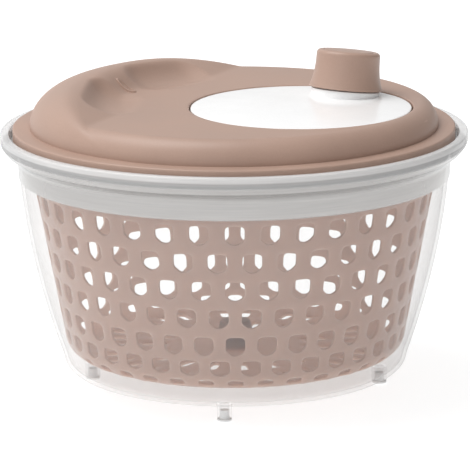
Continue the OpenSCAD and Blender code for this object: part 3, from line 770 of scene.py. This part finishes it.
def basket_point(angle, distance, depth):
    """A point of the wall; depth 0 is the outside and BASKET_WALL the inside."""
    radius = np.interp(distance, ALONG, PROFILE[:, 0])
    height = np.interp(distance, ALONG, PROFILE[:, 1])
    run = np.interp(distance, ALONG, SLOPE[:, 0])
    rise = np.interp(distance, ALONG, SLOPE[:, 1])
    length = math.hypot(run, rise)
    radius -= depth * rise / length
    height += depth * run / length
    return (radius * math.cos(angle), radius * math.sin(angle), height)


def distance_at_height(z):
    """How far along the profile the wall reaches a height."""
    return float(np.interp(z, PROFILE[MID_HEEL:, 1], ALONG[MID_HEEL:]))


def distance_at_radius(r):
    """How far along the profile the floor reaches a radius."""
    return float(np.interp(r, PROFILE[:FLOOR_POINTS, 0], ALONG[:FLOOR_POINTS]))


print("basket radius", round(BASKET_HEEL_R, 1), "to", round(BASKET_R, 1))
print("profile", round(ALONG[-1]), "mm long")

# %% [markdown]
# A hole in the wall is like a small shield: nearly straight on top and drawn to a soft point below.
# As a polar curve it is a superellipse whose power falls from the top to the bottom, so one short
# formula gives its edge in any direction. A slot in the floor uses the same formula with one power.

# %% Hole outline
WALL_HOLE = (10.5, 11.0, 4.5, 1.9)       # width, height, power above, power below
HEEL_HOLE = (10.5, 9.0, 4.5, 1.9)
LOW_HEEL_HOLE = (8.4, 5.5, 3.5, 3.0)
FLOOR_SLOT = (5.0, 14.0, 5.0, 5.0)


def hole_reach(direction, width, height, top_power, bottom_power):
    """Distance from the middle of a hole to its edge."""
    across, up = math.cos(direction), math.sin(direction)
    lean = min(1.0, max(0.0, -up * 1.5))
    power = top_power + (bottom_power - top_power) * lean * lean * (3 - 2 * lean)
    return (abs(across / (width / 2)) ** power + abs(up / (height / 2)) ** power) ** (-1 / power)


def bands(rings, count):
    """Quads between rings of equal count, each ring joined to the next."""
    faces = []
    for first in range(0, (rings - 1) * count, count):
        for k in range(count):
            m = (k + 1) % count
            faces.append((first + k, first + m, first + count + m, first + count + k))
    return faces


EDGE_ROUND = ((0.40, 0.0), (0.12, 0.10), (0.0, 0.38), (0.0, BASKET_WALL - 0.38), (0.12, BASKET_WALL - 0.10),
              (0.40, BASKET_WALL))


def hole_cell(middle, half_turn, low, high, centre, columns, rows, hole):
    """One patch of wall with one hole, as loops of points joined by quads."""
    turns = np.linspace(-half_turn, half_turn, columns + 1)
    steps = np.linspace(low, high, rows + 1)
    border = [(t, low) for t in turns] + [(half_turn, s) for s in steps[1:]]
    border += [(t, high) for t in turns[::-1][1:]] + [(-half_turn, s) for s in steps[::-1][1:-1]]
    radius = float(np.interp(centre, ALONG, PROFILE[:, 0]))
    loops = [[basket_point(middle + t, s, 0) for t, s in border]]
    ways = [math.atan2(s - centre, t * radius) for t, s in border]
    for grow, depth in EDGE_ROUND:
        loop = []
        for way in ways:
            reach = hole_reach(way, *hole) + grow
            angle, distance = middle + reach * math.cos(way) / radius, centre + reach * math.sin(way)
            loop.append(basket_point(angle, distance, depth))
        loops.append(loop)
    loops.append([basket_point(middle + t, s, BASKET_WALL) for t, s in border])
    count = len(border)
    points = [p for loop in loops for p in loop]
    return points, bands(len(loops), count)


print("a wall hole reaches, mm:", [round(hole_reach(math.radians(a), *WALL_HOLE), 1) for a in (0, 90, 225)])

# %% [markdown]
# The rows follow the design: one row low on the heel, one at its top, five up the wall and two
# rings of slots in the floor. A row knows its hole, its middle and whether it is shifted. The
# borders between the rows lie midway between their holes, so neighbouring cells share their edges.

# %% Rows of holes
HOLES = 36
INNER_SLOTS_IN = 36
OUTER_SLOTS_IN = 12
LOW_HEEL_ON = 11.5
HEEL_ROW = 13.7
FIRST_ROW = 26.5
ROW_PITCH = 15.9
TOP_ROW_DROP = 29.0
QUILT_BEFORE = 10.0
QUILT_PAST = 9.0
CELL_ROWS = 6
CELL_COLUMNS = 6
COLUMNS = HOLES * CELL_COLUMNS


def basket_rows():
    """Rows from the floor upwards: distance of the holes' middles, count, shift and hole."""
    inner_slots = distance_at_radius(BASKET_FLOOR_R - INNER_SLOTS_IN)
    outer_slots = distance_at_radius(BASKET_FLOOR_R - OUTER_SLOTS_IN)
    low_heel = distance_at_radius(BASKET_FLOOR_R) + LOW_HEEL_ON
    heel = distance_at_height(BASKET_Z + HEEL_ROW)
    rows = [dict(at=inner_slots, count=HOLES // 2, shifted=False, hole=FLOOR_SLOT),
            dict(at=outer_slots, count=HOLES, shifted=False, hole=FLOOR_SLOT),
            dict(at=low_heel, count=HOLES, shifted=True, hole=LOW_HEEL_HOLE),
            dict(at=heel, count=HOLES, shifted=False, hole=HEEL_HOLE)]
    first = BASKET_Z + FIRST_ROW
    span = BASKET_TOP - TOP_ROW_DROP - first
    steps = round(span / ROW_PITCH)
    for k in range(steps + 1):
        middle = distance_at_height(first + span * k / steps)
        rows.append(dict(at=middle, count=HOLES, shifted=k % 2 == 0, hole=WALL_HOLE))
    return rows


def row_borders(rows):
    """Distances between the rows, midway between their holes."""
    borders = [rows[0]["at"] - QUILT_BEFORE]
    for below, above in zip(rows, rows[1:]):
        borders.append((below["at"] + below["hole"][1] / 2 + above["at"] - above["hole"][1] / 2) / 2)
    borders.append(rows[-1]["at"] + QUILT_PAST)
    return borders


def basket_quilt():
    rows = basket_rows()
    borders = row_borders(rows)
    cells = []
    for row, low, high in zip(rows, borders, borders[1:]):
        pitch = 2 * math.pi / row["count"]
        for k in range(row["count"]):
            middle = (k + (0.5 if row["shifted"] else 0.0)) * pitch
            columns = COLUMNS // row["count"]
            cells.append(hole_cell(middle, pitch / 2, low, high, row["at"], columns, CELL_ROWS, row["hole"]))
    print("holes in the basket:", len(cells))
    return joined(*cells), borders[0], borders[-1]


print("rows of holes at, mm along the wall:", [round(row["at"]) for row in basket_rows()])

# %% [markdown]
# Above the last row the wall ends in a small outward rim with six notches, which take the lugs of
# the drive plate. Below the first row the floor runs into a hub, which holds the bush. Both are
# rings of points on the same columns as the cells, so they weld to them without a seam.

# %% Basket rim and hub
POLE_R = 0.3
NOTCH_HALF = 2          # columns on each side of a notch's middle


def ring_band(profile, notch_from=None):
    """Rings on the basket's columns; from one ring to another the notches are left open."""
    half_notch = NOTCH_W / 2 / BASKET_R
    shift = half_notch - NOTCH_HALF * 2 * math.pi / COLUMNS
    notch_columns = {n * COLUMNS // LUGS + side * NOTCH_HALF: side * shift
                     for n in range(LUGS) for side in (-1, 1)}
    points, faces = [], []
    last = len(profile) - 1
    for i, (radius, height) in enumerate(profile):
        for k in range(COLUMNS):
            angle = 2 * math.pi * k / COLUMNS
            if notch_from is not None and 0 < i < last:
                angle += notch_columns.get(k, notch_columns.get(k - COLUMNS, 0.0))
            points.append((radius * math.cos(angle), radius * math.sin(angle), height))
    def at(i, k):
        return i * COLUMNS + k % COLUMNS
    for i in range(last):
        if profile[i][0] == profile[i + 1][0] == POLE_R:
            continue
        for k in range(COLUMNS):
            from_notch = (k + NOTCH_HALF) % (COLUMNS // LUGS)
            in_notch = from_notch < 2 * NOTCH_HALF
            if notch_from is not None and in_notch and notch_from <= i < last - notch_from:
                continue
            faces.append((at(i, k), at(i, k + 1), at(i + 1, k + 1), at(i + 1, k)))
    if notch_from is not None:
        first_open, last_open = notch_from, last - notch_from
        for n in range(LUGS):
            middle = n * COLUMNS // LUGS
            for k in range(middle - NOTCH_HALF, middle + NOTCH_HALF):
                low = (at(first_open, k), at(first_open, k + 1))
                high = (at(last_open, k + 1), at(last_open, k))
                faces.append(low + high)
            for k in (middle - NOTCH_HALF, middle + NOTCH_HALF):
                faces.append([at(i, k) for i in range(first_open, last_open + 1)])
    return points, faces


def basket_rim(start):
    """The wall above the last row, out to the rim, over it and down the inside."""
    outer, inner = basket_point(0, start, 0), basket_point(0, start, BASKET_WALL)
    notch_z = BASKET_TOP - NOTCH_H
    lean = (BASKET_R - BASKET_HEEL_R) / (BASKET_TOP - BASKET_HEEL_Z)
    under = BASKET_TOP - RIM_T
    reach = BASKET_R + RIM_W
    inside = BASKET_R - BASKET_WALL
    def wall(z):
        return BASKET_R - lean * (BASKET_TOP - z)
    profile = [(outer[0], outer[2]), (wall(notch_z), notch_z), (wall(under - 0.5), under - 0.5),
               (wall(under) + 0.35, under), (reach - 0.2, under + 0.2), (reach, under + 0.5),
               (reach, BASKET_TOP - 0.5), (reach - 0.15, BASKET_TOP - 0.15), (reach - 0.5, BASKET_TOP),
               (inside + 0.5, BASKET_TOP), (inside + 0.15, BASKET_TOP - 0.15), (inside, BASKET_TOP - 0.5),
               (wall(notch_z) - BASKET_WALL, notch_z), (inner[0], inner[2])]
    return ring_band(profile, notch_from=1)


def basket_hub(start):
    """The floor inside the first row, under and over, with the hub and its bore."""
    under, over = basket_point(0, start, 0), basket_point(0, start, BASKET_WALL)
    floor = BASKET_Z + BASKET_WALL
    bore_top = HUB_TOP - 6.0
    profile = [(under[0], under[2]), (BUSH_R + 0.6, BASKET_Z), (BUSH_R + 0.1, BASKET_Z + 0.4),
               (BUSH_R + 0.1, bore_top), (POLE_R, bore_top), (POLE_R, HUB_TOP)]
    profile += [(6.8, HUB_TOP)] + arc(6.8, HUB_TOP - 1.8, 1.8, 1.8, 90, 10, 6)
    profile += [(11.2, floor + 3.2), (11.8, floor + 1.4), (12.8, floor + 0.4), (14.4, floor)]
    profile += [(over[0], over[2])]
    return ring_band(profile)


def close_poles(piece, radius):
    """Draws the rings round the axis together into one point each, which closes the hub."""
    work = bmesh.new()
    work.from_mesh(piece.data)
    near = [v for v in work.verts if math.hypot(v.co.x, v.co.y) < radius * MM]
    for v in near:
        v.co.x = v.co.y = 0.0
    bmesh.ops.remove_doubles(work, verts=near, dist=1e-5)
    bmesh.ops.recalc_face_normals(work, faces=work.faces)
    work.to_mesh(piece.data)
    work.free()


quilt, quilt_start, quilt_end = basket_quilt()
basket = make_piece("perforated_basket", joined(quilt, basket_rim(quilt_end), basket_hub(quilt_start)),
                    basket_finish, "basket", ["basket"], sharp=50, weld=2e-6)
close_poles(basket, 2 * POLE_R)

# %% [markdown]
# ## The lid
#
# The lid is the one piece that isn't turned. It is a low dome with a flange, a hump along one side
# to hold on to, two finger hollows at the hump's foot, and a big round opening off its middle for
# the crank disc. It could be sculpted by hand, but a height formula is easier to keep true to its
# sizes: the flat top with its round shoulder, the hump and the hollows are simple forms, and soft
# maximum and minimum functions blend them as a mould maker's fillets do.

# %% Lid height
LID_WALL = 2.2
FLANGE_RISE = 2.6
FLANGE_W = 9.3
DOME_H = 13.0
SHOULDER_W = 10.7
CREST_IN = 32.7
HUMP_FACE = 19.0
HUMP_SLOPE = 0.35
FADE_IN = 38.0
HOLLOW_R = 19.0
HOLLOW_DEPTH = 1.2
HOLLOW_NEAR_Y = 22.0
HOLLOW_FAR_Y = 50.0
HOLLOW_BEND = 9.0       # the far ends lie nearer the disc
DISC_GAP = 0.8
FOOT_EASE = 0.5         # how softly the hump rises from the dome
CREST_EASE = 4.0        # how softly its crest and its hollows turn over
FLANGE_Z = BOWL_H + FLANGE_RISE
DOME_R = LID_R - FLANGE_W
DOME_Z = FLANGE_Z + DOME_H
HUMP_H = top_of("lid_cover") - DOME_Z
CREST_R = DOME_R - CREST_IN
FADE_X = CREST_R - FADE_IN
HOLLOW_X = CREST_R - HUMP_FACE - 3.0
HOLE_R = DISC_R + DISC_GAP


def soft_max(a, b, ease):
    gap = np.clip(0.5 + (a - b) / (2 * ease), 0, 1)
    return b + (a - b) * gap + ease * gap * (1 - gap)


def soft_min(a, b, ease):
    return -soft_max(-a, -b, ease)


def quarter(distance, width, height):
    """Height of a quarter ellipse that starts level and ends upright."""
    return height * np.sqrt(np.clip(1 - np.clip(distance / width, 0, 1) ** 2, 0, 1))


def hollow_floor(x, y, side, inset):
    """Underside of a round-ended rod laid over the hump's foot; it presses a finger hollow."""
    near = np.array([-HOLLOW_X, side * HOLLOW_NEAR_Y])
    far = np.array([HOLLOW_BEND - HOLLOW_X, side * HOLLOW_FAR_Y])
    run = far - near
    share = np.clip(((x - near[0]) * run[0] + (y - near[1]) * run[1]) / (run @ run), 0, 1)
    away = np.hypot(x - near[0] - share * run[0], y - near[1] - share * run[1])
    radius = HOLLOW_R + inset
    middle = DOME_Z - HOLLOW_DEPTH + HOLLOW_R
    pressed = middle - np.sqrt(np.clip(radius ** 2 - away ** 2, 0, None))
    return np.where(away < radius, pressed, middle + away)


def lid_height(x, y, inset=0.0):
    """Height of the dome with its hump and hollows; inset shrinks it for the inside."""
    radius = np.hypot(x, y)
    flat_r = DOME_R - SHOULDER_W
    plain = FLANGE_Z + quarter(radius - flat_r, SHOULDER_W - inset, DOME_H - inset)
    outer_face = FLANGE_Z + quarter(radius - CREST_R, DOME_R - CREST_R - inset, DOME_H + HUMP_H - inset)
    fall = np.clip((CREST_R - radius) / HUMP_FACE, 0, 1)
    inner_face = DOME_Z - inset + HUMP_H * (1 + np.cos(np.pi * fall)) / 2
    crest = np.where(radius > CREST_R, outer_face, inner_face)
    fade = DOME_Z - inset + HUMP_SLOPE * (-x - FADE_X)
    height = soft_max(plain, soft_min(crest, fade, CREST_EASE), FOOT_EASE)
    for side in (-1, 1):
        height = soft_min(height, hollow_floor(x, y, side, inset), CREST_EASE)
    return np.maximum(height, FLANGE_Z)


print("lid: dome", round(DOME_R, 1), "flat top at", round(DOME_Z, 1), "hump", round(HUMP_H, 1), "higher")

# %% [markdown]
# The height is sampled on a grid that fits the lid's two circles. Its columns run from the disc's
# opening out to the dome's edge, and its rows crowd together near the edge, where the shoulder
# turns upright. The flange, the skirt and the collar round the opening continue the same columns,
# so the whole lid is one closed skin.

# %% Lid skin
LID_COLUMNS = 288
LID_ROWS = 84
INSIDE_ROWS = 30
LID_CORNER = 42
TRAY_TOP = DOME_Z - LID_WALL - 1.0
COLLAR_W = 2.5
POST_R = 3.8
POST_RING_R = DISC_R + 8.5
POST_TURNS = (60, 120, 180, 240, 300)
POST_BOTTOM = bottom_of("ring_gear") - 1.2


def lid_grid(hole_radius, dome_radius, rows, inset):
    """Rings of points from the opening's circle to the dome's circle, on the lid's height."""
    rings = []
    turns = np.arange(LID_COLUMNS) * 2 * np.pi / LID_COLUMNS
    for u in np.linspace(0, 1, rows + 1):
        share = 1 - (1 - u) ** 2
        x = (CRANK_X + hole_radius * np.cos(turns)) * (1 - share) + dome_radius * np.cos(turns) * share
        y = hole_radius * np.sin(turns) * (1 - share) + dome_radius * np.sin(turns) * share
        z = lid_height(x, y, inset)
        rings.append([tuple(p) for p in np.stack([x, y, z], 1)])
    return rings


def circle_ring(radius, height, x=0.0):
    turns = np.arange(LID_COLUMNS) * 2 * np.pi / LID_COLUMNS
    return [(x + radius * math.cos(t), radius * math.sin(t), height) for t in turns]


def opening_ring(radius, drop):
    """A ring round the opening, at the lid's height less a drop."""
    ring = np.array(circle_ring(radius, 0.0, CRANK_X))
    ring[:, 2] = lid_height(ring[:, 0], ring[:, 1]) - drop
    return [tuple(p) for p in ring]


def skin(rings):
    """A closed solid from rings in order, the last joined to the first."""
    points = [p for ring in rings for p in ring]
    count = len(rings[0])
    last = (len(rings) - 1) * count
    closing = [(last + k, last + (k + 1) % count, (k + 1) % count, k) for k in range(count)]
    return points, bands(len(rings), count) + closing


def lid_skin():
    edge = 0.7
    rings = [opening_ring(HOLE_R, edge), opening_ring(HOLE_R + 0.08, 0.32), opening_ring(HOLE_R + 0.3, 0.08)]
    rings += lid_grid(HOLE_R + edge, DOME_R, LID_ROWS, 0.0)
    rings += [circle_ring(r, z) for r, z in arc(LID_R - 1.0, FLANGE_Z - 1.0, 1.0, 1.0, 90, 0, 4)]
    skirt_in, inner_edge = LID_R - LID_WALL, DOME_R - LID_WALL
    under = FLANGE_Z - LID_WALL
    skirt = [(LID_R, LEDGE_Z + 0.4), (LID_R - 0.4, LEDGE_Z), (skirt_in + 0.4, LEDGE_Z),
             (skirt_in, LEDGE_Z + 0.4), (skirt_in, under - 0.8), (skirt_in - 0.8, under),
             (inner_edge + 0.6, under), (inner_edge, under + 0.6)]
    rings += [circle_ring(radius, height) for radius, height in skirt]
    rings += lid_grid(HOLE_R + COLLAR_W, inner_edge, INSIDE_ROWS, LID_WALL)[::-1]
    rings += [circle_ring(HOLE_R + COLLAR_W, TRAY_TOP, CRANK_X), circle_ring(HOLE_R, TRAY_TOP, CRANK_X)]
    return skin(rings)


def lid_posts():
    """Posts under the lid that take the tray's screws."""
    posts = []
    for turn in POST_TURNS:
        angle = math.radians(turn)
        x = CRANK_X + POST_RING_R * math.cos(angle)
        y = POST_RING_R * math.sin(angle)
        top = float(lid_height(np.array(x), np.array(y), LID_WALL)) + 0.8
        outline = eased([(1.6, POST_BOTTOM), (POST_R, POST_BOTTOM), (POST_R + 0.2, top), (0, top),
                         (0, POST_BOTTOM + 8.0), (1.6, POST_BOTTOM + 8.0)], 0.3)
        posts.append(placed(turned(outline, 32), Matrix.Translation((x, y, 0))))
    return joined(*posts)


print("the lid's skin reaches down to", round(LEDGE_Z, 1), "and its collar to", round(TRAY_TOP, 1))

# %% [markdown]
# Between the two hollows the hump carries a small plain oval. It is a low dish with a raised edge
# that follows the hump, so it is made from rings of an ellipse laid on the same height formula.

# %% Oval relief
OVAL_X = CREST_R - 14.0
OVAL_L = 12.0
OVAL_W = 5.0
OVAL_STEPS = 48
OVAL_RISE = ((0.0, 0.35), (0.55, 0.35), (0.68, 0.42), (0.76, 1.0), (0.90, 1.0), (1.0, 0.35), (1.04, -0.5))


def oval_relief():
    """Rings of the oval, each a share of its size and a rise above the hump."""
    rings = []
    for share, rise in OVAL_RISE:
        ring = []
        for k in range(OVAL_STEPS):
            t = 2 * math.pi * k / OVAL_STEPS
            x = -OVAL_X + share * OVAL_L / 2 * math.cos(t)
            y = share * OVAL_W / 2 * math.sin(t)
            ring.append((x, y, float(lid_height(np.array(x), np.array(y))) + rise))
        rings.append(ring)
    rings.append([(-OVAL_X, 0.0, min(p[2] for p in rings[-1]))] * OVAL_STEPS)
    return [p for ring in rings for p in ring], bands(len(rings), OVAL_STEPS)


lid = make_piece("domed_lid", lid_skin(), lid_finish, "lid", ["lid_cover"], sharp=LID_CORNER)
join_solid(lid, "posts", lid_posts())
join_solid(lid, "oval", oval_relief())
smooth(lid.data, LID_CORNER)
print("lid faces with posts and oval:", len(lid.data.polygons))

# %% [markdown]
# ## The crank disc and its knob
#
# The disc is a shallow crowned plate of glossy white plastic. Near its edge it carries a round
# seat, tilted outwards, on which the knob turns. The seat is turned about the knob's own leaning
# axis, and its lowest ring is slid along that axis until it ends inside the disc.

# %% Crank disc
KNOB_JOINT = next(j for j in frame["record"]["behaviour"]["joints"] if j["name"] == "knob_spin")
KNOB_PLACE = Vector(KNOB_JOINT["pos_m"]) / MM
KNOB_AXIS = Vector(KNOB_JOINT["axis"]).normalized()
KNOB_MATRIX = Matrix.Translation(KNOB_PLACE) @ KNOB_AXIS.to_track_quat("Z", "Y").to_matrix().to_4x4()
DISC_Z = DOME_Z - 0.3
DISC_T = 2.2
DISC_CROWN = 2.2
DISC_UNDER = DISC_Z - DISC_T
INNER_UNDER = DISC_UNDER + 1.0
BOSS_BOTTOM = bottom_of("crank_disc")
RECESS_R = 44.0
AXLE_R = 4.0
KNOB_BASE_R = 20.6
KNOB_TOP_R = 17.6
KNOB_H = 21.0
SEAT_GAP = 0.6
KNOB_BOSS_R = 7.0
KNOB_BOSS_H = 6.0
KNOB_AXLE_R = 3.0


def disc_outline():
    top = [(r, DISC_Z + DISC_CROWN * (1 - (r / DISC_R) ** 2)) for r in np.linspace(0, DISC_R - 0.9, 30)]
    edge = arc(DISC_R - 0.8, DISC_Z - 0.75, 0.8, 0.8, 85, 0, 5)
    bore_r = AXLE_R + PIN_FIT
    under = [(DISC_R, DISC_UNDER + 0.5), (DISC_R - 0.5, DISC_UNDER), (RECESS_R + 1, DISC_UNDER, 0.4),
             (RECESS_R, INNER_UNDER, 0.4), (AXLE_R + 4.2, INNER_UNDER, 1.0), (AXLE_R + 4, BOSS_BOTTOM, 0.4),
             (bore_r, BOSS_BOTTOM, 0.2), (bore_r, DISC_Z - 1.0), (0, DISC_Z - 1.0)]
    return top + eased(edge + under, 0.3)


def knob_seat(floor_z):
    """The tilted seat and the boss under the knob, down to a level inside the disc."""
    seat_r = KNOB_BASE_R - 1.6
    bore = KNOB_AXLE_R + PIN_FIT
    deep = -40.0        # well below the disc; the slide below brings it back
    outline = eased([(bore, KNOB_BOSS_H), (KNOB_BOSS_R, KNOB_BOSS_H, 0.4), (KNOB_BOSS_R, -SEAT_GAP, 0.5),
                     (seat_r, -SEAT_GAP, 0.5), (seat_r, deep), (bore, deep)], 0.2)
    points, faces = placed(turned(outline, 96), KNOB_MATRIX)
    settled = []
    for p in points:
        if p[2] < floor_z:
            slide = (floor_z - p[2]) / KNOB_AXIS.z
            p = tuple(Vector(p) + KNOB_AXIS * slide)
        settled.append(p)
    return settled, faces


disc_solid = placed(turned(disc_outline(), 192), Matrix.Translation((CRANK_X, 0, 0)))
disc = make_piece("crank_disc_white", disc_solid, white_finish, "crank", ["crank_disc"])
join_solid(disc, "knob_seat", knob_seat(DISC_Z - 0.6))
smooth(disc.data, CORNER)

# %% [markdown]
# The knob is a turned shell. Its side draws in fast above the base and then rises nearly upright,
# a wide soft edge rounds it off, and a shallow cap closes the top. The cap sits in a fine groove,
# which is what shows from above. A white sleeve inside the knob runs on the axle.

# %% Knob
KNOB_EDGE = 2.2
CAP_R = KNOB_TOP_R - 4.0
CAP_T = 1.6
KNOB_WALL = 2.0
KNOB_FLARE = 3.0
CAP_DROP = 0.03         # keeps the knob's top just inside the design's box


def knob_side(z):
    """Radius of the knob's side, which flares towards its base."""
    return KNOB_TOP_R + (KNOB_BASE_R - KNOB_TOP_R) * (1 - z / KNOB_H) ** KNOB_FLARE


def knob_outline():
    side = [(knob_side(z), z) for z in np.linspace(0.5, KNOB_H - KNOB_EDGE, 20)]
    edge_z = KNOB_H - KNOB_EDGE - CAP_DROP
    edge = arc(KNOB_TOP_R - KNOB_EDGE, edge_z, KNOB_EDGE, KNOB_EDGE, 8, 90, 9)
    inner = KNOB_TOP_R - KNOB_WALL
    seat = KNOB_H - CAP_T
    under, step_r = seat - 1.2, CAP_R - 1.5
    rest = [(CAP_R + 0.05, KNOB_H, 0.3), (CAP_R, seat, 0.1), (step_r, seat, 0.1), (step_r, under, 0.2),
            (inner, under, 0.6), (inner, 1.5, 0.3), (inner + 1, 0, 0.3), (KNOB_BASE_R - 0.5, 0, 0.2)]
    return side + edge + eased(rest, 0.2)


def cap_outline():
    reach = CAP_R - 0.12
    top = [(r, KNOB_H + 0.26 - 0.31 * (r / reach) ** 2) for r in np.linspace(0, reach - 0.4, 10)]
    return top + arc(reach - 0.4, KNOB_H - 0.45, 0.4, 0.4, 80, 0, 4) + [(reach, KNOB_H - CAP_T + 0.02),
                                                                        (0, KNOB_H - CAP_T + 0.02)]


def sleeve_outline():
    outer = KNOB_TOP_R - KNOB_WALL - 0.02
    inner = KNOB_BOSS_R + 0.6
    neck = KNOB_AXLE_R + 2
    bore = KNOB_AXLE_R + 0.05
    top = KNOB_H - 5.5
    wall, low = 1.5, -SEAT_GAP / 2
    seat, over = KNOB_BOSS_H + 0.05, KNOB_BOSS_H + 2
    return eased([(inner, low), (outer, low), (outer, 3.5), (outer - wall, 3.5), (outer - wall, wall),
                  (inner + wall, wall), (inner + wall, over), (neck, over), (neck, top), (bore, top),
                  (bore, seat), (inner, seat)], 0.25)


make_piece("knob_shell", placed(turned(knob_outline(), 144), KNOB_MATRIX), knob_finish, "knob",
           ["knob"])
make_piece("knob_top_cap", placed(turned(cap_outline(), 144), KNOB_MATRIX), knob_finish, "knob",
           ["knob_cap"])
make_piece("knob_inner_sleeve", placed(turned(sleeve_outline(), 96), KNOB_MATRIX), white_finish, "knob",
           ["knob_sleeve"])

# %% [markdown]
# ## Pieces that keep the design's own meshes
#
# The gears, bushes, axles, washers, clips, screws, the tray and the drive plate are already exact,
# and they only need their finish. It goes in through their material slots, by the slot's name in
# the design's record, so their meshes stay untouched.

# %% Finishes for the inner pieces
INNER_FINISHES = {"tray_plastic": tray_finish, "bearing_plastic": natural_finish,
                  "gear_plastic": natural_finish, "steel": steel_finish}


def finish_inner_pieces():
    replaced = {"bowl", "foot_plugs", "basket", "lid_cover", "crank_disc", "knob", "knob_cap", "knob_sleeve"}
    done = []
    for part in frame["record"]["subparts"]:
        if part["node"] in replaced:
            continue
        node = frame["nodes"][part["node"]]
        for place in node.material_slots:
            place.material = INNER_FINISHES[part["material_slot"]]
        done.append(part["node"])
    print("inner pieces finished:", len(done))


finish_inner_pieces()
